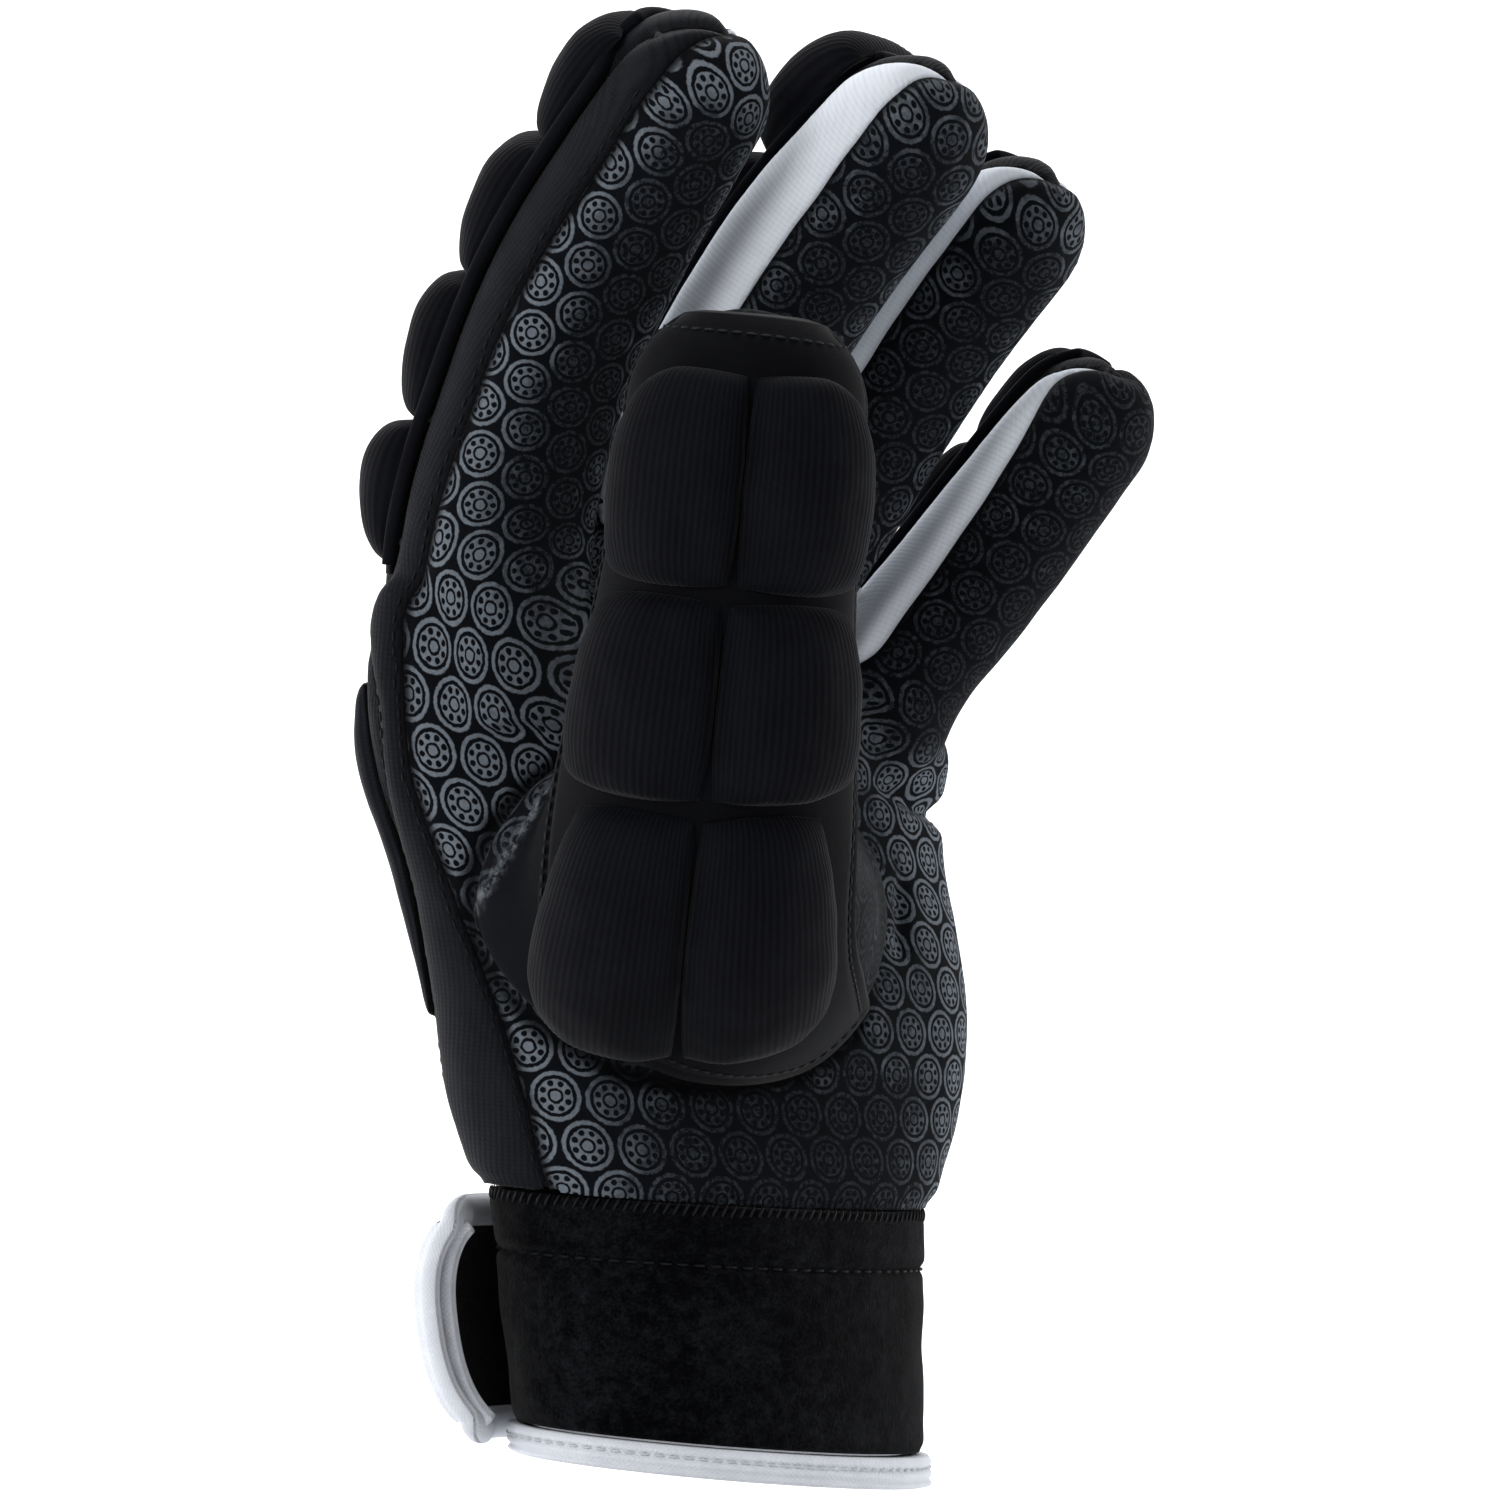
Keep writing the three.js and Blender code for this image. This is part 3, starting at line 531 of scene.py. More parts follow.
class Shader:
    """A material's node tree under construction."""

    def __init__(self, name: str, constants: dict[str, Any]) -> None:
        """Makes a material with one Principled shader.

        Args:
            name: The material's name.
            constants: Values of the shader's sockets that are the same all over.
        """
        self.material = bpy.data.materials.new(name)
        self.material.use_nodes = True
        self.tree = self.material.node_tree
        self.surface = self.tree.nodes["Principled BSDF"]
        for socket, value in constants.items():
            self.surface.inputs[socket].default_value = value

    def node(self, kind: str, settings: dict[str, Any], inputs: dict[Any, Any], output: Any = 0) -> Value:
        """Adds a node.

        Args:
            kind: The node's type.
            settings: Properties of the node, set first.
            inputs: Values or Value links of its sockets, by name or place.
            output: The socket to return.

        Returns:
            The chosen output.
        """
        made = self.tree.nodes.new(kind)
        for key, value in settings.items():
            setattr(made, key, value)
        for key, value in inputs.items():
            self._feed(made.inputs[key], value)
        return Value(self, made.outputs[output])

    def _feed(self, socket: bpy.types.NodeSocket, value: Any) -> None:
        """Links a socket to a value or gives it a constant."""
        if isinstance(value, Value):
            self.tree.links.new(value.socket, socket)
        else:
            socket.default_value = value

    def maths(self, operation: str, *values: Any) -> Value:
        """A Math node."""
        return self.node("ShaderNodeMath", {"operation": operation}, dict(enumerate(values)))

    def blend(self, factor: Any, first: Any, second: Any) -> Value:
        """Mixes two colours."""
        return self.node("ShaderNodeMix", {"data_type": "RGBA"}, {0: factor, 6: first, 7: second}, 2)

    def attribute(self, name: str) -> Value:
        """A number stored on the mesh."""
        return self.node("ShaderNodeAttribute", {"attribute_name": name}, {}, "Fac")

    def surface_place(self) -> tuple[Value, Value]:
        """The piece's own map, in millimetres along and across it."""
        place = self.node("ShaderNodeUVMap", {"uv_map": "Surface"}, {})
        parts = self.node("ShaderNodeSeparateXYZ", {}, {0: place})
        other = Value(self, parts.socket.node.outputs[1])
        return parts * 1000, other * 1000

    def object_place(self) -> Value:
        """The place in the part's frame."""
        return self.node("ShaderNodeTexCoord", {}, {}, "Object")

    def grain(self, size: float, detail: float = 3.0, roughness: float = 0.55) -> Value:
        """Noise with features of a size in millimetres."""
        inputs = {"Vector": self.object_place(), "Scale": 1 / (size * MM)}
        inputs |= {"Detail": detail, "Roughness": roughness}
        return self.node("ShaderNodeTexNoise", {}, inputs)

    def finish(self, colour: Any, roughness: Any, height: Value, depth: float) -> bpy.types.Material:
        """Connects the outputs.

        Args:
            colour: Base colour.
            roughness: Roughness.
            height: Relief from 0 to 1.
            depth: The relief's depth in millimetres.

        Returns:
            The finished material.
        """
        bump = self.node("ShaderNodeBump", {}, {"Strength": 1.0, "Distance": depth * MM, "Height": height})
        for socket, value in (("Base Color", colour), ("Roughness", roughness), ("Normal", bump)):
            self._feed(self.surface.inputs[socket], value)
        return self.material


def rgb(red: float, green: float, blue: float) -> Colour:
    """An opaque colour in linear values."""
    return (red, green, blue, 1.0)


@dataclass(frozen=True)
class PrintedSuede:
    """Near-black brushed suede with a grey grip print: ringed discs in staggered rows."""

    name: str = "printed suede"
    pitch: float = 8.9
    ground: Colour = rgb(0.001, 0.0012, 0.0018)
    raised: Colour = rgb(0.0042, 0.0048, 0.0064)
    ink: Colour = rgb(0.15, 0.172, 0.198)
    faint: Colour = rgb(0.027, 0.033, 0.04)

    def motif(self, shader: Shader) -> Value:
        """The print's coverage: discs with a dark ring and a ring of small holes on a staggered lattice."""
        u, v = shader.surface_place()
        row = self.pitch * math.sqrt(3)
        cells = []
        for shift in (0.0, 0.5):
            x = ((u / self.pitch + shift).call("FRACT") - 0.5) * self.pitch
            y = ((v / row + shift).call("FRACT") - 0.5) * row
            cells.append((x, y, (x * x + y * y).call("SQRT")))
        (x0, y0, r0), (x1, y1, r1) = cells
        nearer = r0 < r1
        x = x0 * nearer + x1 * (1 - nearer)
        y = y0 * nearer + y1 * (1 - nearer)
        r = r0.at_most(r1) + (shader.grain(0.9, 3) - 0.5) * 0.55
        disc = r.rise(0.475 * self.pitch, 0.445 * self.pitch)
        ring = (r - 0.35 * self.pitch).call("ABSOLUTE").rise(0.22, 0.38)
        well = (r - 0.12 * self.pitch).call("ABSOLUTE").rise(0.14, 0.3)
        step = 2 * math.pi / 8
        turn = (shader.maths("ARCTAN2", y, x) / step).call("FRACT") - 0.5
        sideways = turn * step * (0.24 * self.pitch)
        forward = r - 0.24 * self.pitch
        holes = (sideways * sideways + forward * forward).call("SQRT").rise(0.42, 0.58)
        return disc * ring * well * holes

    def material(self) -> bpy.types.Material:
        """Builds the material."""
        shader = Shader(self.name, {"Sheen Weight": 0.03, "Sheen Roughness": 0.3, "Specular IOR Level": 0.04})
        nap = shader.grain(0.5, 4)
        cloud = shader.grain(9.0, 3)
        rub = shader.grain(2.6, 6, 0.75)
        scratch = shader.grain(0.9, 5, 0.8)
        wear = shader.attribute("wear")
        seam = shader.attribute("seam")
        patch = (rub - 0.5) * 1.7 + (cloud - 0.5) * 1.5
        eaten = (wear * 1.15 + patch * (0.1 + wear)).rise(0.22, 0.9)
        kept = (1 - eaten * (0.74 + 0.26 * scratch.rise(0.42, 0.6))) * wear.rise(1.3, 1.05)
        # Painted shade in the seam grooves and round the thumb's root: the seam mask dims the print there.
        ink = self.motif(shader) * kept * (1 - 0.8 * seam)
        ground = shader.blend(cloud * 0.6 + nap * 0.4, self.ground, self.raised)
        faded = shader.blend(wear * 0.7, self.ink, self.faint)
        colour = shader.blend(ink * (0.35 + 0.85 * nap), ground, faded)
        # Painted shade along the seams: the colour is drawn towards near-black.
        colour = shader.blend(seam * 0.75, colour, rgb(0.0016, 0.0017, 0.002))
        frayed = shader.attribute("frayed") * rub.rise(0.4, 0.58)
        colour = shader.blend(frayed, colour, rgb(0.13, 0.145, 0.16))
        height = nap * 0.35 + ink * 0.6 + cloud * 0.3
        return shader.finish(colour, 0.9 - 0.14 * ink, height, 0.16)


@dataclass(frozen=True)
class Knit:
    """Smooth black knit with fine wales."""

    name: str = "black knit"
    dark: Colour = rgb(0.0024, 0.0027, 0.0038)
    light: Colour = rgb(0.0076, 0.0086, 0.0115)
    wale: float = 0.9

    def material(self) -> bpy.types.Material:
        """Builds the material."""
        shader = Shader(self.name, {"Sheen Weight": 0.06, "Sheen Roughness": 0.3, "Specular IOR Level": 0.06})
        u, v = shader.surface_place()
        wales = u.ridges(self.wale)
        courses = (v * (math.pi / (0.8 * self.wale)) + wales * 1.5).call("SINE").call("ABSOLUTE")
        cloud = shader.grain(7.0, 4)
        fleck = shader.grain(0.6, 2)
        weave = wales * 0.6 + courses * 0.4
        tone = (cloud * 0.5 + fleck * 0.3 + weave * 0.45).rise(0.3, 0.95)
        colour = shader.blend(tone, self.dark, self.light)
        # Painted shade in the seam grooves: the knit is drawn towards near-black there.
        colour = shader.blend(shader.attribute("seam") * 0.85, colour, rgb(0.001, 0.001, 0.0012))
        return shader.finish(colour, 0.6 + 0.2 * fleck, weave + fleck * 0.4, 0.08)


@dataclass(frozen=True)
class WhiteRibbed:
    """Cool white stretch knit with a faint grid."""

    name: str = "white ribbed knit"
    rib: float = 0.9
    white: Colour = rgb(0.6, 0.63, 0.68)
    shade: Colour = rgb(0.5, 0.53, 0.58)

    def material(self) -> bpy.types.Material:
        """Builds the material."""
        shader = Shader(self.name, {"Sheen Weight": 0.06, "Specular IOR Level": 0.2})
        u, v = shader.surface_place()
        ribs = v.ridges(self.rib)
        yarn = u.ridges(self.rib)
        cloud = shader.grain(6.0, 4)
        # Darker towards the seams, following the seam mask, mottled by noise.
        darkening = (shader.attribute("seam") + (cloud - 0.5) * 0.5).rise(0.45, 1.2)
        tone = (ribs * 0.25 + cloud * 0.7 + yarn * 0.15).rise(0.1, 0.9)
        colour = shader.blend(tone, self.shade, self.white)
        colour = shader.blend(darkening * 0.45, colour, rgb(0.2, 0.23, 0.28))
        return shader.finish(colour, 0.85, ribs * 0.5 + yarn * 0.4, 0.07)


@dataclass(frozen=True)
class RibbedFoam:
    """Black stretch cloth over foam; the ribs themselves are in the mesh, and the crest mask lightens the
    colour as a painted highlight.
    """

    name: str = "ribbed foam"
    dark: Colour = rgb(0.0009, 0.001, 0.0016)
    light: Colour = rgb(0.0042, 0.0047, 0.0068)

    def material(self) -> bpy.types.Material:
        """Builds the material."""
        shader = Shader(self.name, {"Sheen Weight": 0.07, "Sheen Roughness": 0.3, "Specular IOR Level": 0.04})
        lint = shader.grain(0.45, 3)
        cloud = shader.grain(11.0, 4)
        # Painted highlight: crest lightens the rib tops on the pads and, by a fixed amount, the sheets and
        # corded edges.
        crest = shader.attribute("crest")
        tone = (crest * 0.35 + cloud * 0.55 + lint * 0.3).rise(0.2, 1.0)
        colour = shader.blend(tone, self.dark, self.light)
        colour = shader.blend(lint.rise(0.66, 0.8) * 0.3, colour, rgb(0.018, 0.019, 0.023))
        return shader.finish(colour, 0.7 + 0.16 * lint, lint * 0.7 + cloud * 0.3, 0.09)


@dataclass(frozen=True)
class BrushedLoop:
    """Black brushed loop pile, mottled where the pile lies over."""

    name: str = "brushed loop"
    dark: Colour = rgb(0.0007, 0.0008, 0.0011)
    light: Colour = rgb(0.0105, 0.0115, 0.0135)

    def material(self) -> bpy.types.Material:
        """Builds the material."""
        shader = Shader(self.name, {"Sheen Weight": 0.07, "Sheen Roughness": 0.3, "Specular IOR Level": 0.02})
        loops = shader.grain(0.55, 5, 0.75)
        tufts = shader.grain(2.4, 4, 0.6)
        sweep = shader.grain(16.0, 3)
        tone = (loops * 0.7 + tufts * 0.45 + sweep * 0.25).rise(0.58, 1.0)
        colour = shader.blend(tone, self.dark, self.light)
        return shader.finish(colour, 0.95, loops * 0.7 + tufts * 0.5, 0.4)


@dataclass(frozen=True)
class BindingTape:
    """White woven tape with a fine weave and a little soil."""

    name: str = "white binding"
    white: Colour = rgb(0.6, 0.62, 0.66)
    thread: float = 0.45

    def material(self) -> bpy.types.Material:
        """Builds the material."""
        shader = Shader(self.name, {"Sheen Weight": 0.06, "Specular IOR Level": 0.2})
        u, v = shader.surface_place()
        warp, weft = ((place * (math.pi / self.thread)).call("SINE") for place in (u, v))
        weave = (warp * weft).rise(-1, 1)
        cloud = shader.grain(5.0, 5, 0.6)
        colour = shader.blend((cloud * 0.8 + weave * 0.2).rise(0.15, 0.8), rgb(0.5, 0.52, 0.57), self.white)
        return shader.finish(colour, 0.85, weave, 0.06)


@dataclass(frozen=True)
class Thread:
    """Twisted sewing thread."""

    name: str
    colour: Colour

    def material(self) -> bpy.types.Material:
        """Builds the material."""
        shader = Shader(self.name, {"Specular IOR Level": 0.1})
        fibre = shader.grain(0.2, 2)
        darker = tuple(0.55 * c for c in self.colour[:3]) + (1.0,)
        return shader.finish(shader.blend(fibre, darker, self.colour), 0.55, fibre, 0.05)


class Wardrobe:
    """Every finish, built once."""

    def __init__(self) -> None:
        """Builds the materials."""
        self.by_slot = {
            Slot.SUEDE: PrintedSuede().material(),
            Slot.KNIT: Knit().material(),
            Slot.WHITE: WhiteRibbed().material(),
            Slot.FOAM: RibbedFoam().material(),
            Slot.LOOP: BrushedLoop().material(),
            Slot.BINDING: BindingTape().material(),
        }
        self.black_thread = Thread("black thread", rgb(0.006, 0.0065, 0.008)).material()
        self.grey_thread = Thread("grey thread", rgb(0.013, 0.014, 0.017)).material()
        self.white_thread = Thread("white thread", rgb(0.62, 0.64, 0.69)).material()

    def dress(self, piece: bpy.types.Object, slot: Slot, nodes: Sequence[str] = (),
              thread: bpy.types.Material | None = None) -> bpy.types.Object:
        """Gives a piece its finish, its body and the nodes that it stands for.

        Args:
            piece: The piece.
            slot: Its material slot.
            nodes: Names of the nodes that it replaces.
            thread: A thread material instead of the slot's own.

        Returns:
            The piece.
        """
        piece.data.materials.clear()
        piece.data.materials.append(thread or self.by_slot[slot])
        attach(piece, BODY)
        if nodes:
            piece.name = f"{nodes[0]}_sewn"
            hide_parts(*nodes)
        LOG.info("%s: %d faces", piece.name, len(piece.data.polygons))
        return piece


def cloth_object(name: str, points: np.ndarray, faces: Sequence[Sequence[int]], uv: np.ndarray | None = None,
                 wrap: float = 0.0, numbers: dict[str, np.ndarray] | None = None) -> bpy.types.Object:
    """Makes a smooth-shaded mesh object at the origin.

    Args:
        name: The piece's name.
        points: Places in millimetres.
        faces: Point numbers of each face.
        uv: Map of each point in millimetres.
        wrap: The map's width where a piece closes on itself, or 0.
        numbers: Values of each point, stored as named attributes.

    Returns:
        The object.
    """
    mesh = bpy.data.meshes.new(name)
    mesh.from_pydata((np.asarray(points) * MM).tolist(), [], [list(map(int, f)) for f in faces])
    mesh.validate()
    mesh.shade_smooth()
    if uv is not None:
        loops = np.empty(len(mesh.loops), dtype=np.int32)
        mesh.loops.foreach_get("vertex_index", loops)
        placed = np.asarray(uv, float)[loops]
        if wrap:
            starts = np.empty(len(mesh.polygons), dtype=np.int32)
            totals = np.empty(len(mesh.polygons), dtype=np.int32)
            mesh.polygons.foreach_get("loop_start", starts)
            mesh.polygons.foreach_get("loop_total", totals)
            owner = np.repeat(np.arange(len(starts)), totals)
            highest = np.full(len(starts), -1e9)
            np.maximum.at(highest, owner, placed[:, 0])
            placed[:, 0] += wrap * (highest[owner] - placed[:, 0] > wrap / 2)
        layer = mesh.uv_layers.new(name="Surface")
        layer.data.foreach_set("uv", (placed * MM).astype(np.float32).ravel())
    for key, values in (numbers or {}).items():
        made = mesh.attributes.new(key, "FLOAT", "POINT")
        made.data.foreach_set("value", np.asarray(values, dtype=np.float32))
    piece = bpy.data.objects.new(name, mesh)
    bpy.context.scene.collection.objects.link(piece)
    return piece


def grid_faces(rows: int, columns: int, closed: bool = False) -> Faces:
    """Faces of a grid of points.

    Args:
        rows: Number of rows of points.
        columns: Number of points in a row.
        closed: Whether each row closes on itself.

    Returns:
        The faces, turned so that rows up and columns to the right face the viewer.
    """
    faces = []
    for i in range(rows - 1):
        for k in range(columns if closed else columns - 1):
            a = i * columns + k
            b = i * columns + (k + 1) % columns
            faces.append((a, b, b + columns, a + columns))
    return faces


def turned(faces: Faces) -> Faces:
    """The same faces, looking the other way."""
    return [face[::-1] for face in faces]


def joined(parts: Sequence[tuple[np.ndarray, Faces]]) -> tuple[np.ndarray, Faces, np.ndarray]:
    """Several meshes as one: its points, its faces, and the number of each part's first point."""
    starts = np.concatenate([[0], np.cumsum([len(points) for points, _ in parts])])
    faces = [tuple(i + s for i in f) for (_, fs), s in zip(parts, starts) for f in fs]
    return np.vstack([points for points, _ in parts]), faces, starts


def edit_all(piece: bpy.types.Object, step: Callable[[], Any]) -> None:
    """Takes a modelling step on the whole of one piece in edit mode."""
    bpy.ops.object.select_all(action="DESELECT")
    bpy.context.view_layer.objects.active = piece
    piece.select_set(True)
    bpy.ops.object.mode_set(mode="EDIT")
    bpy.ops.mesh.select_all(action="SELECT")
    step()
    bpy.ops.object.mode_set(mode="OBJECT")


def face_out(piece: bpy.types.Object) -> None:
    """Turns a closed piece's faces outwards."""
    edit_all(piece, lambda: bpy.ops.mesh.normals_make_consistent(inside=False))


def apply_modifiers(piece: bpy.types.Object) -> None:
    """Replaces a piece's mesh by its modified one and clears the modifiers."""
    graph = bpy.context.evaluated_depsgraph_get()
    final = piece.evaluated_get(graph)
    made = bpy.data.meshes.new_from_object(final, preserve_all_data_layers=True, depsgraph=graph)
    piece.modifiers.clear()
    piece.data = made


def points_of(mesh: bpy.types.Mesh) -> np.ndarray:
    """A mesh's points in millimetres."""
    found = np.empty(3 * len(mesh.vertices), dtype=np.float32)
    mesh.vertices.foreach_get("co", found)
    return found.reshape(-1, 3).astype(float) / MM


def normals_of(mesh: bpy.types.Mesh) -> np.ndarray:
    """A mesh's point normals."""
    found = np.empty(3 * len(mesh.vertices), dtype=np.float32)
    mesh.vertex_normals.foreach_get("vector", found)
    return found.reshape(-1, 3).astype(float)


def set_points(mesh: bpy.types.Mesh, points: np.ndarray) -> None:
    """Moves a mesh's points, given in millimetres."""
    mesh.vertices.foreach_set("co", (points * MM).astype(np.float32).ravel())
    mesh.update()


def thicken(piece: bpy.types.Object, wall: float) -> None:
    """Gives a surface a wall in millimetres, inwards."""
    solid = piece.modifiers.new("wall", "SOLIDIFY")
    solid.thickness = wall * MM
    solid.offset = -1
    apply_modifiers(piece)


def sweep(route: np.ndarray, up: np.ndarray, radius: float, sides: int,
          flat: float = 1.0) -> tuple[np.ndarray, Faces, np.ndarray]:
    """A tube along an open route, with closed ends.

    Args:
        route: Points of the middle line in millimetres.
        up: Direction of the height at each point.
        radius: The tube's half width.
        sides: Points round it.
        flat: Half height as a share of the half width.

    Returns:
        Points, faces and the map of each point.
    """
    ahead = unit(np.gradient(route, axis=0))
    side = unit(np.cross(ahead, up))
    top = np.cross(side, ahead)
    turn = np.linspace(0, 2 * math.pi, sides, endpoint=False)
    ring = radius * np.cos(turn)[None, :, None] * side[:, None, :]
    ring = ring + flat * radius * np.sin(turn)[None, :, None] * top[:, None, :]
    points = (route[:, None, :] + ring).reshape(-1, 3)
    count = len(route)
    faces = grid_faces(count, sides, closed=True)
    faces += [tuple(range(sides))[::-1], tuple(range((count - 1) * sides, count * sides))]
    uv = np.stack(np.broadcast_arrays(turn[None, :] * radius, run_along(route)[:, None]), -1).reshape(-1, 2)
    return points, faces, uv


class Stitcher:
    """Makes rows of stitches from one small stitch."""

    def __init__(self) -> None:
        """Models the stitch: a round rod with rounded ends, along X, one millimetre long and across."""
        bpy.ops.object.select_all(action="DESELECT")
        bpy.ops.mesh.primitive_uv_sphere_add(segments=6, ring_count=5, radius=0.5)
        rod = bpy.context.active_object
        bpy.ops.object.mode_set(mode="EDIT")
        bpy.ops.mesh.select_all(action="SELECT")
        bpy.ops.transform.rotate(value=math.pi / 2, orient_axis="Y", center_override=(0, 0, 0))
        bpy.ops.object.mode_set(mode="OBJECT")
        # The sphere's points and faces come in an order that changes from run to run, so they are sorted.
        points = points_of(rod.data) * MM
        order = np.lexsort(np.round(points, 3).T)
        self.points = points[order]
        faces = (np.argsort(order)[list(p.vertices)].tolist() for p in rod.data.polygons)
        self.faces = sorted((*f[f.index(min(f)):], *f[:f.index(min(f))]) for f in faces)
        bpy.data.objects.remove(rod)

    def row(self, name: str, places: np.ndarray, ways: np.ndarray, ups: np.ndarray, length: float,
            width: float) -> bpy.types.Object:
        """Copies the stitch to each place in one joined mesh.

        Args:
            name: The row's name.
            places: Middle of each stitch in millimetres.
            ways: Direction that each runs in.
            ups: Direction out of the cloth.
            length: A stitch's length.
            width: A thread's width.

        Returns:
            The joined object.
        """
        ways = unit(ways)
        sides = unit(np.cross(ups, ways))
        tops = np.cross(ways, sides)
        local = self.points
        bow = width * 0.35 * (1 - (2 * local[:, 0]) ** 2)
        points = (
            places[:, None, :]
            + (local[None, :, 0, None] * length) * ways[:, None, :]
            + (local[None, :, 1, None] * width) * sides[:, None, :]
            + (local[None, :, 2, None] * width + bow[None, :, None]) * tops[:, None, :]
        ).reshape(-1, 3)
        size = len(local)
        faces = [tuple(v + i * size for v in f) for i in range(len(places)) for f in self.faces]
        return cloth_object(name, points, faces)


def spaced(route: np.ndarray, pitch: float) -> tuple[np.ndarray, np.ndarray]:
    """Points a pitch apart along a route, and its directions there."""
    run = run_along(route)
    at = np.arange(pitch / 2, run[-1], pitch)
    places, ahead, behind = (
        np.stack([np.interp(at + reach, run, route[:, i]) for i in range(3)], -1) for reach in (0, 0.4, -0.4)
    )
    return places, ahead - behind


@dataclass
class Pad:
    """One foam pad: a domed sheet on a limb, ribbed along it."""

    RIB_PITCH: ClassVar[float] = 1.1  # distance between ribs on the map
    WRINKLE: ClassVar[float] = 0.25  # depth of the soft wrinkles

    name: str
    limb: Limb
    low_share: float
    high_share: float
    start: float
    end: float
    seat: float
    height: float
    slot: Slot = Slot.FOAM
    edge: float = PAD_EDGE
    columns: int = 26
    rows: int = 13
    rib_depth: float = 0.16
    fill: float = 0.8
    full_along: float = 2.1
    full_across: float = 3.2
    corners: tuple[float, float, float, float] = (0.25, 0.25, 0.25, 0.25)
    low_end: float = 1.0
    points: np.ndarray = field(default_factory=lambda: np.zeros((0, 3)))

    def heights(self, u: np.ndarray, v: np.ndarray) -> np.ndarray:
        """Height over the limb's wall: full in the middle and rolled down to the sewn edge."""
        along = np.sqrt(np.maximum(0, 1 - np.abs(2 * u - 1) ** self.full_along))
        across = np.sqrt(np.maximum(0, 1 - np.abs(2 * v - 1) ** self.full_across))
        taper = self.low_end + (1 - self.low_end) * u
        return self.seat + self.edge + (self.height - self.edge) * along * across * taper

    def _rounded(self, u: np.ndarray, v: np.ndarray) -> tuple[np.ndarray, np.ndarray]:
        """Draws the plan's corners in: low start, low end, high start, high end."""
        a, b = 2 * u - 1, 2 * v - 1
        low = np.where(b < 0, self.corners[0], self.corners[1])
        high = np.where(b < 0, self.corners[2], self.corners[3])
        drawn = np.where(a < 0, low, high)
        return (1 + a * np.sqrt(1 - drawn * b * b / 2)) / 2, (1 + b * np.sqrt(1 - drawn * a * a / 2)) / 2

    def form(self) -> tuple[np.ndarray, Faces, np.ndarray]:
        """The slack pad before it is blown up.

        Returns:
            Points, faces and how firmly each point is held, from 0 to 1.
        """
        u, v = np.linspace(0, 1, self.rows), np.linspace(0, 1, self.columns)
        uu, vv = np.meshgrid(0.35 * u + 0.65 * eased(u), 0.6 * v + 0.4 * eased(v), indexing="ij")
        plan_u, plan_v = self._rounded(uu, vv)
        share = self.low_share + (self.high_share - self.low_share) * plan_u
        angle = self.start + (self.end - self.start) * plan_v
        top = self.limb.point(share, angle, self.heights(uu, vv)).reshape(-1, 3)
        under = self.limb.point(share, angle, np.full_like(uu, self.seat)).reshape(-1, 3)
        size = len(top)
        faces = grid_faces(self.rows, self.columns)
        faces += [tuple(size + i for i in f) for f in turned(faces)]
        faces += [(b, a, size + a, size + b) for a, b in edges_of(self._rim())]
        free_u, free_v = (np.maximum(0, 1 - np.abs(2 * place - 1) ** 6) for place in (uu, vv))
        held = np.ones(2 * size)
        held[:size] = 1 - np.minimum(1, np.sqrt(free_u * free_v)).ravel()
        return np.vstack([top, under]), faces, held

    def _rim(self) -> list[int]:
        """Point numbers round the top's edge."""
        grid = np.arange(self.rows * self.columns).reshape(self.rows, self.columns)
        return np.concatenate([grid[0], grid[1:, -1], grid[-1, -2::-1], grid[-2:0:-1, 0]]).tolist()

    def build(self) -> bpy.types.Object:
        """Makes the finished pad with its ribs from the blown-up points."""
        _, faces, _ = self.form()
        size = self.rows * self.columns
        column = np.tile(np.arange(self.columns, dtype=float), 2 * self.rows)
        crown = np.concatenate([np.ones(size), np.zeros(size)])
        run = np.linalg.norm(np.diff(self.points[:size].reshape(self.rows, self.columns, 3), axis=0), axis=2)
        along = np.vstack([np.zeros(self.columns), np.cumsum(run, axis=0)]).ravel()
        uv = np.stack([column * self.RIB_PITCH, np.tile(along, 2)], -1)
        piece = cloth_object(self.name, self.points, faces, uv, numbers={"column": column, "crest": crown})
        finer = piece.modifiers.new("finer", "SUBSURF")
        finer.levels = finer.render_levels = 2
        apply_modifiers(piece)
        mesh = piece.data
        columns, tops = (np.empty(len(mesh.vertices), dtype=np.float32) for _ in range(2))
        mesh.attributes["column"].data.foreach_get("value", columns)
        mesh.attributes["crest"].data.foreach_get("value", tops)
        points = points_of(mesh)
        wave = 0.5 + 0.5 * np.cos(2 * math.pi * columns)
        soft = smooth(0.5, 1.0, tops)
        lift = self.rib_depth * soft * (wave - 0.5)
        lift = lift + self.WRINKLE * soft * ripple(points, 6.0, seed=len(self.name))
        set_points(mesh, points + normals_of(mesh) * lift[:, None])
        # The crest attribute now marks the rib tops, which the foam colour lightens as a painted highlight.
        mesh.attributes["crest"].data.foreach_set("value", (wave * soft).astype(np.float32))
        return piece


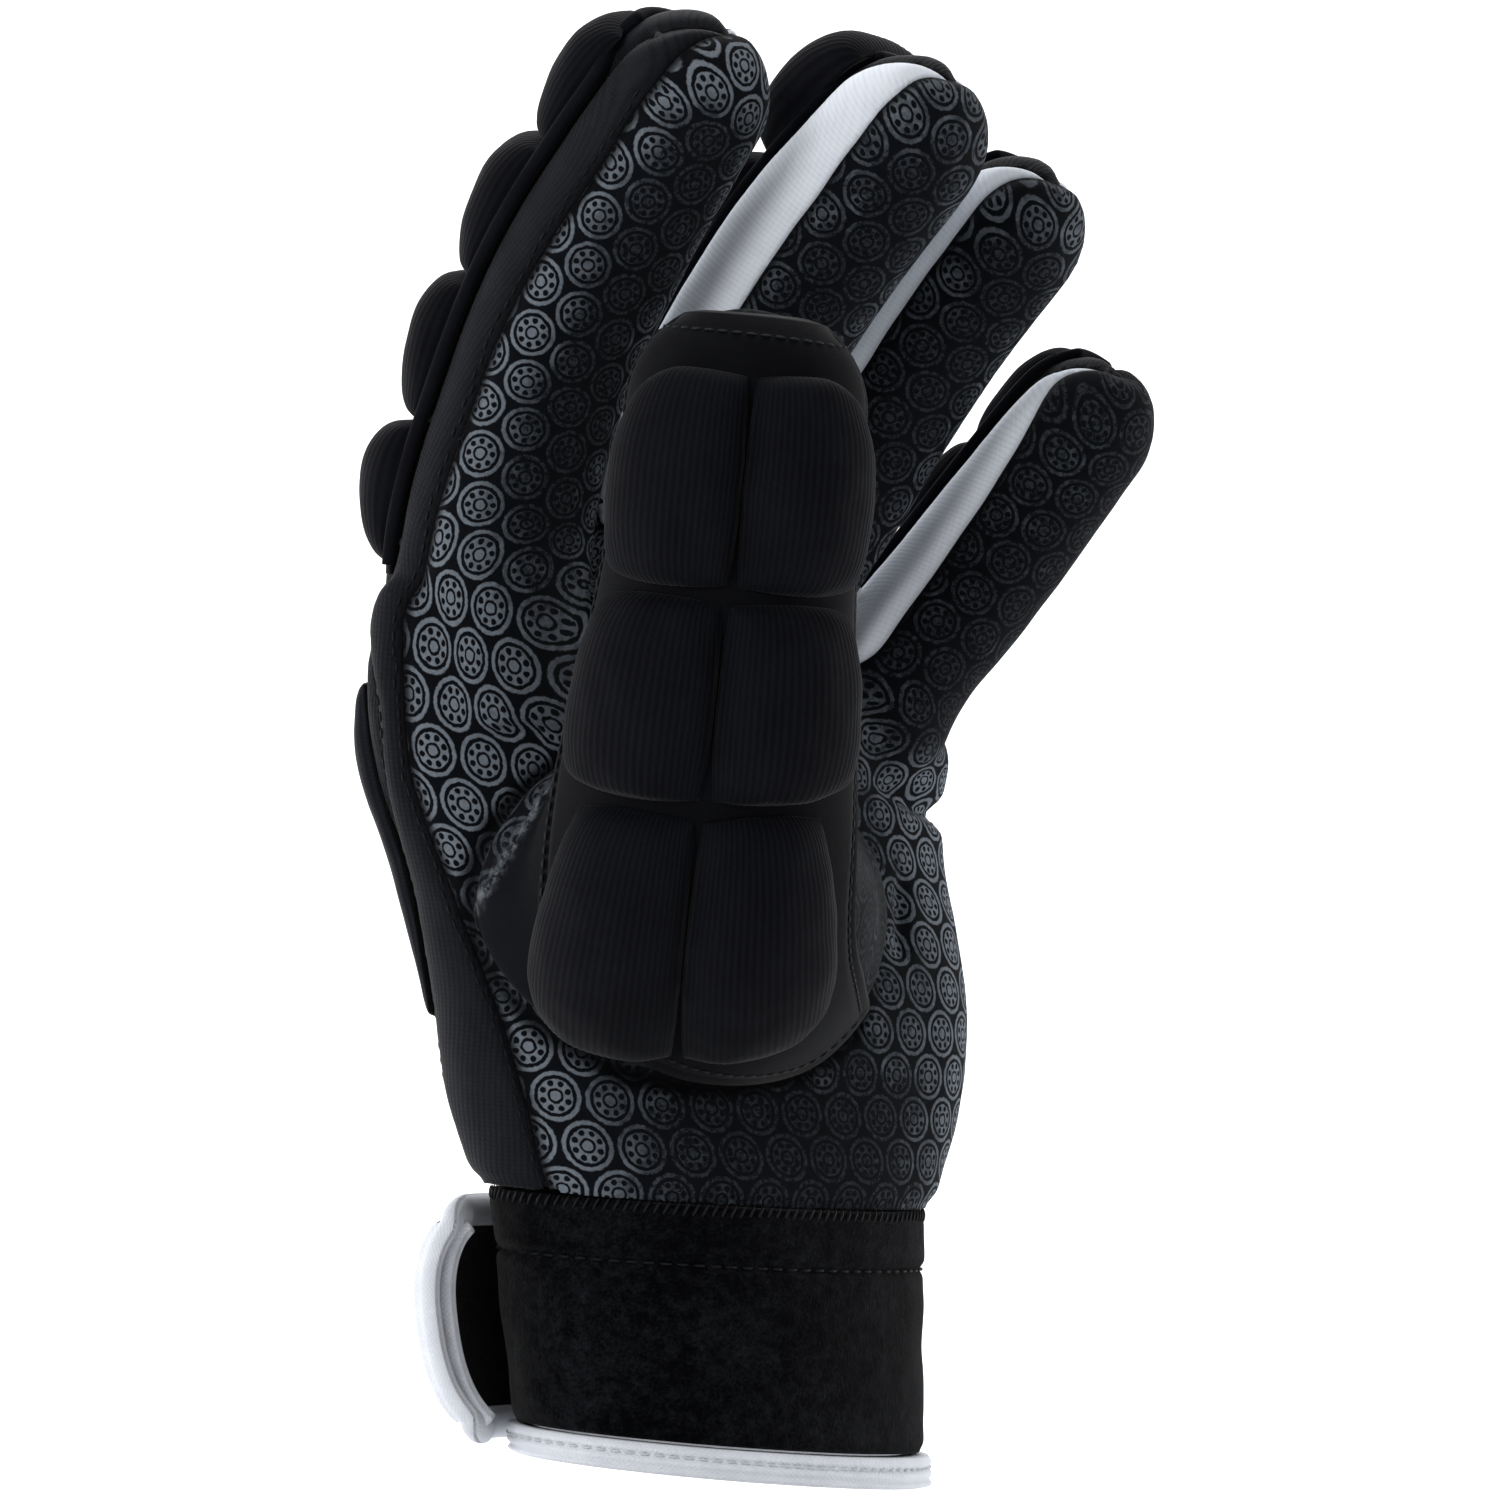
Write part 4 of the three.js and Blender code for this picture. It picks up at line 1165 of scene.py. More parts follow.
class PadBench:
    """Blows up every pad in one cloth simulation, held at the sewn edges."""

    PRESSURE = 3.0
    FRAMES = 14
    MOST = 1.4  # how far a point may move, in millimetres
    ENLARGED = 10  # the pads are blown up at ten times their size, at which cloth behaves well

    def __init__(self, pads: Sequence[Pad]) -> None:
        """Takes the pads to fill."""
        self.pads = pads

    def fill(self) -> None:
        """Gives each pad its points."""
        forms = [pad.form() for pad in self.pads]
        points, faces, starts = joined([form[:2] for form in forms])
        points = self._blown(points, faces, np.concatenate([held for _, _, held in forms]))
        for pad, first, last in zip(self.pads, starts, starts[1:]):
            pad.points = points[first:last]

    def _blown(self, points: np.ndarray, faces: Faces, held: np.ndarray) -> np.ndarray:
        """Runs the cloth.

        Args:
            points: The slack pads' points.
            faces: Their faces.
            held: How firmly each point is held, from 0 to 1.

        Returns:
            The filled pads' points, none further from its start than MOST.
        """
        slack = cloth_object("pads_in_work", points * self.ENLARGED, faces)
        group = slack.vertex_groups.new(name="sewn")
        for index, weight in enumerate(held.tolist()):
            group.add([index], weight, "REPLACE")
        cloth = slack.modifiers.new("cloth", "CLOTH")
        settings = cloth.settings
        settings.quality = 5
        settings.mass = 0.3
        settings.tension_stiffness = settings.compression_stiffness = 20
        settings.bending_stiffness = 0.6
        settings.vertex_group_mass = "sewn"
        settings.pin_stiffness = 1
        settings.use_pressure = True
        settings.uniform_pressure_force = self.PRESSURE
        settings.effector_weights.gravity = 0
        cloth.collision_settings.use_collision = False
        scene = bpy.context.scene
        for frame in range(1, self.FRAMES + 1):
            scene.frame_set(frame)
        graph = bpy.context.evaluated_depsgraph_get()
        filled = points_of(slack.evaluated_get(graph).to_mesh()) / self.ENLARGED
        scene.frame_set(1)
        bpy.data.objects.remove(slack)
        moved = filled - points
        far = np.linalg.norm(moved, axis=1, keepdims=True)
        return points + moved * np.minimum(1, self.MOST / np.maximum(far, 1e-9)) * (1 - held[:, None])


class HandSkin:
    """The sewn skin of hand and fingers: one soft surface, cut into its panels along smooth seams."""

    VOXEL = 0.95
    GROOVE = 0.9  # depth of a seam
    GROOVE_WIDTH = 1.3
    CAP = 12.0  # most that a panel's score may be at a point
    HAND_RADIUS = 45.0  # turns angles round the hand into distances
    MAP_WIDE = 53  # half width and half depth of the oval that the hand's map unrolls
    MAP_DEEP = 21
    ANCHOR = 0.15  # share of a finger at which its map joins the hand's
    TIP_FACING = 110  # angle round a fingertip at which its print faces the viewer
    FINGER_WEAR = (0.04, 0.46, 0.46, 0.8)  # wear of the print all over each finger, from the index finger on
    ROOT_WIDTH = 1.9  # width of the painted shade where the stall meets the palm
    LEAST_RUN = 24  # seams of no more points than this carry no stitches

    def __init__(self, wardrobe: Wardrobe, stitcher: Stitcher) -> None:
        """Prepares the limbs."""
        self.wardrobe = wardrobe
        self.stitcher = stitcher
        self.hand = Limb(HAND, HAND_TIP)
        self.fingers = [f.limb() for f in FINGERS]
        self.thumb = Limb(THUMB, THUMB_TIP)
        self.start = self.hand.share_at_height(CUFF_TOP)
        self.points = np.zeros((0, 3))
        self.tree: BVHTree | None = None

    @staticmethod
    def _closed_tube(limb: Limb, start: float) -> tuple[np.ndarray, Faces]:
        """A closed tube over a limb from a share of its length to its rounded tip."""
        sides = 72
        tip = limb.tip / limb.length
        turn = np.sin(np.linspace(0, math.pi / 2, 12)[1:])
        share = np.concatenate([np.linspace(start, 1 - tip, 70), 1 - tip * (1 - turn)])
        angle = np.linspace(0, 360, sides, endpoint=False)
        rings = limb.point(*np.meshgrid(share, angle, indexing="ij"))
        points = np.vstack([rings[:-1].reshape(-1, 3), rings[0].mean(axis=0), rings[-1].mean(axis=0)])
        rows = len(share) - 1
        last, base, pole = (rows - 1) * sides, rows * sides, rows * sides + 1
        faces = grid_faces(rows, sides, closed=True)
        for k in range(sides):
            faces.append(((k + 1) % sides, k, base))
            faces.append((last + k, last + (k + 1) % sides, pole))
        return points, turned(faces)

    def merge(self) -> None:
        """Joins the hand and the fingers to one surface, open at the cuff."""
        parts = [self._closed_tube(self.hand, max(0.0, self.start - 0.03))]
        parts += [self._closed_tube(limb, 0.0) for limb in self.fingers]
        piece = cloth_object("skin_in_work", *joined(parts)[:2])
        remesh = piece.modifiers.new("merge", "REMESH")
        remesh.mode = "VOXEL"
        remesh.voxel_size = self.VOXEL * MM
        relax = piece.modifiers.new("relax", "SMOOTH")
        relax.factor = 0.6
        relax.iterations = 9
        apply_modifiers(piece)
        place = tuple(self.hand.point(self.start, [0, 120, 240]).mean(axis=0) * MM)
        normal = tuple(self.hand.pick(self.hand.along, np.array([self.start]))[0])
        edit_all(piece, lambda: bpy.ops.mesh.bisect(plane_co=place, plane_no=normal, clear_inner=True))
        self.points = points_of(piece.data)
        self.faces = [tuple(p.vertices) for p in piece.data.polygons]
        self.tree = BVHTree.FromPolygons(self.points.tolist(), self.faces)
        bpy.data.objects.remove(piece)
        LOG.info("skin: %d points", len(self.points))

    @staticmethod
    def flare(angle: np.ndarray | float) -> np.ndarray:
        """How far the stall spreads over the palm at its seam, by the angle round the thumb."""
        return 1.0 + 5.0 * bell(wrapped(np.asarray(angle) - 185), 48)

    def find_root(self) -> None:
        """Finds the ring where the stall meets the palm."""
        self.root_angles = np.linspace(0, 360, 120, endpoint=False)
        low = self.thumb_leaves(self.root_angles, self.flare(self.root_angles), halvings=16)
        for _ in range(3):
            low = (np.roll(low, 1) + 2 * low + np.roll(low, -1)) / 4
        self.root_share = low
        ring = np.linspace(0, 360, 721)
        share = np.interp(ring, np.append(self.root_angles, 360), np.append(low, low[0]))
        self.root_distance = distances(self.points, self.thumb.point(share, ring, self.flare(ring)))

    def thumb_leaves(self, angles: np.ndarray, out: Any, halvings: int) -> np.ndarray:
        """Finds where the thumb's wall leaves the hand's skin.

        Args:
            angles: Angles round the thumb.
            out: Distances out from the thumb's wall.
            halvings: Steps of the search.

        Returns:
            The shares of the thumb's length.
        """
        low, high = np.zeros(len(angles)), np.full(len(angles), 0.6)
        for _ in range(halvings):
            half = (low + high) / 2
            within = np.array([self.inside(p) for p in self.thumb.point(half, angles, out)])
            low, high = np.where(within, half, low), np.where(within, high, half)
        return low

    def inside(self, place: np.ndarray) -> bool:
        """Whether a place lies inside the skin."""
        near, normal, _, _ = self.tree.find_nearest(Vector(place))
        return (Vector(place) - near).dot(normal) < 0

    @staticmethod
    def _span(angle: np.ndarray, low: Any, high: Any, radius: float) -> np.ndarray:
        """Signed distance in millimetres into a span of angles, from its nearer end."""
        middle = (low + high) / 2
        away = np.abs(wrapped(angle - middle))
        return np.radians((high - low) / 2 - away) * radius

    def _weights(self) -> np.ndarray:
        """How much each finger owns each point, between 0 and 1; what is left is the hand's."""
        near = [smooth(0.1, 0.3, share) * (1 - smooth(1.06, 1.45, ratio)) for share, _, ratio in self.found]
        own = np.stack(near)
        nearest = np.stack([ratio for _, _, ratio in self.found])
        own = own * (bell(nearest - nearest.min(axis=0), 0.12) + 1e-6)
        total = own.sum(axis=0)
        return own / np.maximum(total, 1)

    def measure(self) -> None:
        """Finds each point's place on the limbs, its map, its panel scores and its wear."""
        self.found = [limb.locate(self.points) for limb in self.fingers]
        self.share, self.angle, _ = self.hand.locate(self.points)
        self.own = own = self._weights()
        self.hand_own = hand_own = 1 - own.sum(axis=0)
        self.above_cuff = (self.share - self.start) * self.hand.length
        angle = self.angle
        low, high = (np.interp(self.points[:, 2], SIDE_HEIGHTS, angles) for angles in (SIDE_FROM, SIDE_TO))
        palm = hand_own * self._capped(self._span(angle, 0 * low, low, self.HAND_RADIUS))
        side = hand_own * self._capped(self._span(angle, low, high, self.HAND_RADIUS))
        strips = {crotch.panel: -5.0 * hand_own for crotch in CROTCHES}
        for i, finger in enumerate(FINGERS):
            f_share, f_angle, _ = self.found[i]
            size = finger.rows[2].wide
            edge = finger.print_to(f_share)
            start = finger.print_from - 60 * smooth(0.9, 1.0, f_share)
            palm += own[i] * self._capped(self._span(f_angle, start, edge, size))
            armour = self._span(f_angle, edge, finger.armour_from, size)
            side += own[i] * (self._capped(armour) if i == 0 else -self.CAP)
            for crotch in CROTCHES:
                strips[crotch.panel] += own[i] * self._capped(self._strip(crotch, i, f_share, f_angle, size))
        self.scores = {Panel.PALM: palm, Panel.SIDE: side, **strips}
        self.uv = self._map()
        self.wear = self._wear()

    @classmethod
    def _capped(cls, distance: np.ndarray) -> np.ndarray:
        """A signed distance, no further from 0 than the cap, so that no panel outweighs the others."""
        return np.clip(distance, -cls.CAP, cls.CAP)

    def _strip(self, crotch: Crotch, i: int, share: np.ndarray, angle: np.ndarray, size: float) -> np.ndarray:
        """Signed distance into a white strip on finger i."""
        finger, limb = FINGERS[i], self.fingers[i]
        if i == crotch.first:
            reach = self._span(angle, finger.armour_to - 360, finger.print_from, size)
            start = limb.share_at_height(crotch.first_from)
        elif i == crotch.second:
            reach = self._span(angle, finger.print_to(share), finger.armour_from, size)
            start = limb.share_at_height(crotch.second_from)
        else:
            return np.full_like(share, -self.CAP)
        return np.minimum(reach, (share - start) * limb.length)

    def _hand_map(self, share: np.ndarray, angle: np.ndarray) -> np.ndarray:
        """The hand's skin unrolled to both sides of the palm's middle."""
        table = np.linspace(-math.pi, math.pi, 721)
        speed = np.hypot(self.MAP_WIDE * np.cos(table), self.MAP_DEEP * np.sin(table))
        arc = np.concatenate([[0], np.cumsum((speed[1:] + speed[:-1]) / 2 * np.diff(table))])
        arc -= np.interp(0, table, arc)
        wide = np.interp(share, self.hand.grid, self.hand.oval[:, 0])
        turn = np.radians(wrapped(angle - 90))
        return np.stack([-np.interp(turn, table, arc) * wide / self.MAP_WIDE, share * self.hand.length], -1)

    def _map(self) -> np.ndarray:
        """The cloth's flat map in millimetres: the hand's, carried on into each finger."""
        flat = self._hand_map(self.share, self.angle) * self.hand_own[:, None]
        for i, limb in enumerate(self.fingers):
            f_share, f_angle, _ = self.found[i]
            middle = (FINGERS[i].print_from + float(FINGERS[i].print_to(0.5))) / 2
            a_share, a_angle, _ = self.hand.locate(limb.point(self.ANCHOR, middle)[None, :])
            origin = self._hand_map(a_share, a_angle)[0]
            ahead = limb.along[int(self.ANCHOR * (limb.STATIONS - 1))]
            hand_at = int(a_share[0] * (self.hand.STATIONS - 1))
            lean = math.atan2(ahead @ self.hand.across[hand_at], ahead @ self.hand.along[hand_at])
            size = limb.pick(limb.oval, f_share)[:, 0]
            off = np.radians(wrapped(f_angle - middle))
            tip = smooth(0.72, 0.92, f_share)
            facing = np.radians(wrapped(f_angle - self.TIP_FACING))
            across = limb.round_at(f_share) * np.sin(np.clip(facing, -math.pi / 2, math.pi / 2))
            sideways = -size * (off * (1 - tip) + (across + math.radians(self.TIP_FACING - middle)) * tip)
            over = np.clip(1 - (1 - f_share) * limb.length / limb.tip, 0, 1)
            forward = (np.minimum(f_share, 1 - limb.tip / limb.length) - self.ANCHOR) * limb.length
            forward = forward + limb.tip * np.arcsin(over)
            u = origin[0] + sideways * math.cos(lean) + forward * math.sin(lean)
            v = origin[1] - sideways * math.sin(lean) + forward * math.cos(lean)
            flat += np.stack([u, v], -1) * self.own[i][:, None]
        return flat

    def _wear(self) -> np.ndarray:
        """How far the print is rubbed off, from 0 to 1: along the fingers' middles and low on the palm."""
        turn = wrapped(self.angle)
        low = smooth(0.5, 0.15, self.share)
        facing = bell(turn - 88, 42)
        rubbed = 0.24 * smooth(150, 105, turn) * smooth(15, 55, turn)
        wear = self.hand_own * (0.05 + rubbed + 0.8 * facing * np.maximum(low, 0.5))
        for i, finger in enumerate(FINGERS):
            f_share, f_angle, _ = self.found[i]
            middle = (finger.print_from + float(finger.print_to(0.5))) / 2 + (4 if i == 0 else 12)
            ridge = bell(wrapped(f_angle - middle), 40 if i == 0 else 34)
            worn = self.FINGER_WEAR[i]
            wear += self.own[i] * (worn + (0.98 - worn) * ridge * smooth(1.0, 0.88, f_share))
        return np.clip(wear, 0, 1)

    def cut(self) -> None:
        """Names each face's panel and draws the seams smooth."""
        order = list(Panel)
        labels = np.full(len(self.faces), order.index(Panel.BACK))
        for panel, score in reversed(self.scores.items()):
            labels[np.array([score[list(f)].mean() for f in self.faces]) > 0] = order.index(panel)
        self.labels = labels
        edges: dict[tuple[int, int], list[int]] = {}
        for number, face in enumerate(self.faces):
            for a, b in edges_of(face):
                edges.setdefault((a, b) if a < b else (b, a), []).append(number)
        seam: dict[int, list[int]] = {}
        self.seams: dict[tuple[int, int], list[tuple[int, int]]] = {}
        for (a, b), owners in edges.items():
            kinds = {int(labels[o]) for o in owners}
            if len(kinds) == 2:
                seam.setdefault(a, []).append(b)
                seam.setdefault(b, []).append(a)
                self.seams.setdefault(tuple(sorted(kinds)), []).append((a, b))
        self._draw_smooth(seam)
        self.seam_distance = distances(self.points, self.points[np.array(sorted(seam))])

    def _draw_smooth(self, seam: dict[int, list[int]]) -> None:
        """Relaxes the seam lines and the mesh beside them, on the surface."""
        index, first, second = np.array([(v, *n) for v, n in seam.items() if len(n) == 2]).T
        for _ in range(30):
            self.points[index] = 0.5 * self.points[index] + 0.25 * (self.points[first] + self.points[second])
        for v in index.tolist():
            self.points[v] = self.tree.find_nearest(Vector(self.points[v]))[0]
        count = np.zeros(len(self.points))
        pairs = np.array([edge for face in self.faces for edge in edges_of(face)])
        self.pairs = pairs
        np.add.at(count, pairs[:, 0], 1)
        close = np.zeros(len(self.points), dtype=bool)
        close[index] = True
        for _ in range(3):
            grown = close.copy()
            grown[pairs[close[pairs[:, 0]], 1]] = True
            grown[pairs[close[pairs[:, 1]], 0]] = True
            close = grown
        close[list(seam)] = False
        for _ in range(8):
            total = np.zeros_like(self.points)
            np.add.at(total, pairs[:, 0], self.points[pairs[:, 1]])
            mean = total / np.maximum(count, 1)[:, None]
            self.points[close] = 0.4 * self.points[close] + 0.6 * mean[close]

    def shape(self) -> None:
        """Presses the seams in, puffs the panels a little and adds soft creases."""
        mesh = bpy.data.meshes.new("normals_in_work")
        mesh.from_pydata(self.points.tolist(), [], [list(f) for f in self.faces])
        normals = normals_of(mesh)
        bpy.data.meshes.remove(mesh)
        press = self.GROOVE * bell(self.seam_distance, self.GROOVE_WIDTH)
        press = np.maximum(press, 1.6 * bell(self.root_distance, 1.7))
        press += 1.5 * bell(self.above_cuff, 2.2)
        press += self._folds()
        puff = 0.35 * smooth(0, 6, self.seam_distance)
        crease = 0.32 * ripple(self.points, 15.0) + 0.16 * ripple(self.points, 6.5, seed=4.0)
        crease *= smooth(0.5, 5, self.seam_distance)
        self.points = self.points + normals * (puff - press + crease)[:, None]
        for _ in range(3):
            total = normals.copy()
            np.add.at(total, self.pairs[:, 0], normals[self.pairs[:, 1]])
            normals = unit(total)
        self.inner = self.points - normals * SEWN_WALL

    def _folds(self) -> np.ndarray:
        """Depth of the folds beside the thumb, less the swells over them and below the index pads."""
        x, y, z = self.points.T
        side = 3.0 * bell(z - 113.5 - 0.5 * (35 - x), 2.1) * smooth(22, 34, x) * smooth(38, 28, y)
        slit = 1.5 * bell(x - 31 + 0.02 * (z - 94), 1.3) * smooth(86, 90, z) * smooth(103, 99, z)
        slit *= smooth(20, 12, y)
        bulge = 1.3 * bell(z - 122, 5.0) * smooth(26, 36, x) + 0.9 * bell(z - 149, 8) * smooth(-48, -55, x)
        return side + slit - bulge

    def build(self) -> None:
        """Makes each panel's piece."""
        share, _, ratio = self.thumb.locate(self.points)
        hidden = (ratio < 0.9) & (share > 0.02) & (self.points[:, 1] < -4)
        slots = {Panel.PALM: Slot.SUEDE, Panel.SIDE: Slot.KNIT, Panel.BACK: Slot.KNIT}
        for number, panel in enumerate(Panel):
            faces = [f for f, label in zip(self.faces, self.labels) if label == number]
            faces = [f for f in faces if not all(hidden[v] for v in f)]
            used = np.unique(np.concatenate(faces))
            place = {int(v): i for i, v in enumerate(used)}
            twice = np.concatenate([used, used])
            # The seam number marks the painted shade along the seam grooves and round the thumb's root.
            numbers = {
                "wear": self.wear[twice],
                "seam": np.maximum(bell(self.seam_distance[twice], self.GROOVE_WIDTH),
                                   bell(self.root_distance[twice], self.ROOT_WIDTH)),
                "frayed": np.zeros(len(twice)),
            }
            walled = self._walled([tuple(place[v] for v in f) for f in faces], len(used))
            both = np.vstack([self.points[used], self.inner[used]])
            piece = cloth_object(panel.value, both, walled, self.uv[twice], numbers=numbers)
            self.wardrobe.dress(piece, slots.get(panel, Slot.WHITE), [panel.value])

    @staticmethod
    def _walled(faces: Faces, size: int) -> Faces:
        """Adds the faces of an inner layer, whose points follow the outer ones, and the rim between both."""
        open_edges: dict[tuple[int, int], None] = {}
        for face in faces:
            for a, b in edges_of(face):
                if (b, a) in open_edges:
                    del open_edges[(b, a)]
                else:
                    open_edges[(a, b)] = None
        inner = [tuple(v + size for v in face) for face in turned(faces)]
        return faces + inner + [(b, a, a + size, b + size) for a, b in open_edges]

    def sew(self) -> None:
        """Adds the stitch rows beside the seams that show."""
        order = list(Panel)
        black, grey = self.wardrobe.black_thread, self.wardrobe.grey_thread
        tree = BVHTree.FromPolygons(self.points.tolist(), self.faces)
        for first, second, offset, top, thread, name in (
            (Panel.PALM, Panel.SIDE, 1.6, 232, black, "palm_side_stitches"),
            (Panel.SIDE, Panel.BACK, 1.5, 138, black, "side_back_stitches"),
            (Panel.PALM, Panel.BACK, 1.5, 112, grey, "palm_back_stitches"),
        ):
            key = tuple(sorted((order.index(first), order.index(second))))
            places, ways = [], []
            for chain in self._chains(self.seams[key]):
                if len(chain) > self.LEAST_RUN:
                    at, way = spaced(self.points[chain], 2.6)
                    places.append(at[at[:, 2] < top])
                    ways.append(way[at[:, 2] < top])
            at, way = np.vstack(places), np.vstack(ways)
            ups, seats = [], []
            for p, w in zip(at.tolist(), way):
                _, normal, _, _ = tree.find_nearest(Vector(p))
                aside = np.cross(np.array(normal), w)
                aside /= max(np.linalg.norm(aside), 1e-9)
                seat = np.array(p) + offset * aside
                near, up, _, _ = tree.find_nearest(Vector(seat))
                seats.append(np.array(near) + 0.05 * np.array(up))
                ups.append(np.array(up))
            row = self.stitcher.row(name, np.array(seats), way, np.array(ups), 1.9, 0.42)
            self.wardrobe.dress(row, Slot.KNIT, thread=thread)

    @staticmethod
    def _chains(edges: list[tuple[int, int]]) -> list[list[int]]:
        """Runs of points along joined edges."""
        near: dict[int, list[int]] = {}
        for a, b in edges:
            near.setdefault(a, []).append(b)
            near.setdefault(b, []).append(a)
        left = set(near)
        chains = []
        while left:
            ahead = sorted(v for v in left if len(near[v]) != 2) or sorted(left)
            chain = []
            while ahead:
                chain.append(ahead[0])
                left.discard(ahead[0])
                ahead = [n for n in near[ahead[0]] if n in left]
            chains.append(chain)
        return chains


@dataclass(frozen=True)
class Blocks:
    """One row of the thumb's foam blocks.

    low and high are shares of the thumb's length. split is the angle at which the two blocks meet, and side
    the angle that each spans. corners tells how far the outer corners are drawn in, low and high.
    """

    name: str
    low: float
    high: float
    split: float
    side: float
    corners: tuple[float, float]


BLOCKS = (
    Blocks("bottom", 0.157, 0.402, 92, 51, (0.85, 0.35)),
    Blocks("middle", 0.412, 0.642, 90, 66, (0.3, 0.3)),
    Blocks("top", 0.652, 0.912, 88, 68, (0.3, 0.95)),
)


@dataclass
class ThumbWork:
    """The raised thumb: printed stall, stitched armour sheet and six foam blocks."""

    skin: HandSkin
    wardrobe: Wardrobe
    stitcher: Stitcher
    sheet_seat: float = GAP + 0.1
    sheet_wall: float = 1.1
    rim: float = 2.6
    rim_stitches: int = 147
    inner_corner: float = 0.2
    stall_map: float = 21.0  # radii at which the maps of stall and sheet are unrolled
    sheet_map: float = 20.0

    def pads(self) -> list[Pad]:
        """The six foam blocks."""
        made = []
        for row in BLOCKS:
            for word, way in (("right", -1), ("left", 1)):
                inner = row.split + way * 0.3
                low, high = sorted((inner, inner + way * row.side))
                drawn = sum(((corner, self.inner_corner)[::way] for corner in row.corners), ())
                made.append(Pad(f"thumb_pad_{row.name}_{word}", self.skin.thumb, row.low, row.high, high, low,
                                GAP + ARMOUR_BASE, THUMB_PAD_HEIGHT, edge=0.3, columns=31, rows=16,
                                rib_depth=0.09, full_along=2.3, full_across=2.3, corners=drawn))
        return made

    def build(self) -> None:
        """Builds the stall and the armour sheet with its stitched rim."""
        self._stall()
        self._sheet()

    def _stall(self) -> None:
        """The printed tube, from the seam on the palm to its rounded tip."""
        thumb = self.skin.thumb
        angles = self.skin.root_angles
        start = self.skin.root_share - 0.014
        tip = np.sin(np.linspace(0, math.pi / 2, 14)[1:-1])
        part = np.concatenate([np.linspace(0, 0.9, 80), 0.9 + 0.1 * tip])
        share = start[None, :] + (1 - start[None, :]) * part[:, None]
        angle = np.broadcast_to(angles[None, :], share.shape)
        away = (share - start[None, :]) * thumb.length
        spread = self.skin.flare(angle) * (1 - smooth(2, 15, away))
        out = spread - 0.5 - 1.1 * bell(away - 1.4, 1.5) + 0.4 * smooth(1, 9, away)
        flat = thumb.point(share, angle, out).reshape(-1, 3)
        under = thumb.point(share, angle, -8).reshape(-1, 3)
        flat += 0.3 * ripple(flat, 9.0, seed=9.0)[:, None] * (flat - under) / 8
        pole = thumb.point(1.0, 0.0, -0.5)
        uv = unrolled(angle, self.stall_map, share * thumb.length)
        rows, columns = share.shape
        last = (rows - 1) * columns
        faces = grid_faces(rows, columns, closed=True)
        faces += [(last + k, last + (k + 1) % columns, rows * columns) for k in range(columns)]
        x, _, z = flat.T
        above = -0.855 * (x + 25.6) + 0.52 * (z - 122)
        patch = smooth(-0.4, 0.4, above) * smooth(-12, -20, x)
        wear = np.where(x < -10, 1.35 - 0.75 * patch, 0.8)
        # The seam number paints shade round the stall's root, where it meets the palm.
        numbers = {
            "wear": np.append(wear, 0.8),
            "seam": np.append(bell(away, 2.2).ravel(), 0),
            "frayed": np.append(bell(above, 0.5) * smooth(-24, -27, x) * smooth(205, 190, angle.ravel()), 0),
        }
        piece = cloth_object("thumb_stall", np.vstack([flat, pole]), turned(faces), np.vstack([uv, uv[-1:]]),
                             wrap=2 * math.pi * self.stall_map, numbers=numbers)
        thicken(piece, SEWN_WALL)
        self.wardrobe.dress(piece, Slot.SUEDE, ["thumb_stall"])

    def _sheet(self) -> None:
        """The black sheet under the blocks, its edge turned and sewn."""
        thumb = self.skin.thumb
        steps = 90
        part = np.linspace(0, 1, steps)
        base = self.skin.thumb_leaves(180 * part, 1.5, halvings=18)
        base = np.convolve(np.pad(base, 4, mode="edge"), np.ones(9) / 9, mode="valid") + 0.012
        share = base[None, :] + (0.985 - base[None, :]) * part[:, None]
        inset = np.where(part[None, :] > 0.5, 38, 26) * (1 - smooth(0.18, 0.5, share))
        angle = 90 + (180 * part[None, :] - 90) * (90 - inset) / 90
        to_end = np.minimum(part, 1 - part)
        edge = np.minimum(to_end[None, :] * 58, to_end[:, None] * 110)
        rim = smooth(0, 1.2, edge)
        out = self.sheet_seat + (ARMOUR_BASE - 0.2) * (0.45 + 0.55 * rim) - 0.55 * bell(edge - self.rim, 0.8)
        points = thumb.point(share, angle, out)
        uv = unrolled(angle, self.sheet_map, share * thumb.length)
        # A low crest keeps the sheet dark: painted shade in the valleys between the blocks.
        numbers = {"crest": np.full(points[..., 0].size, 0.05)}
        piece = cloth_object("thumb_armour_base", points.reshape(-1, 3), turned(grid_faces(steps, steps)), uv,
                             numbers=numbers)
        thicken(piece, self.sheet_wall)
        self.wardrobe.dress(piece, Slot.FOAM, ["thumb_armour_base"])
        k = 4  # the stitches run this many steps inside the sheet's edge, up to where they would meet
        line = np.vstack([points[k:-k, k], points[-k, k:-k], points[-k:k:-1, -k], points[k, -k:k:-1]])
        at, way = (found[:self.rim_stitches] for found in spaced(line, 2.4))
        ups = unit(thumb.out_of(at))
        row = self.stitcher.row("thumb_rim_stitches", at + 0.1 * ups, way, ups, 1.8, 0.45)
        self.wardrobe.dress(row, Slot.FOAM, thread=self.wardrobe.grey_thread)


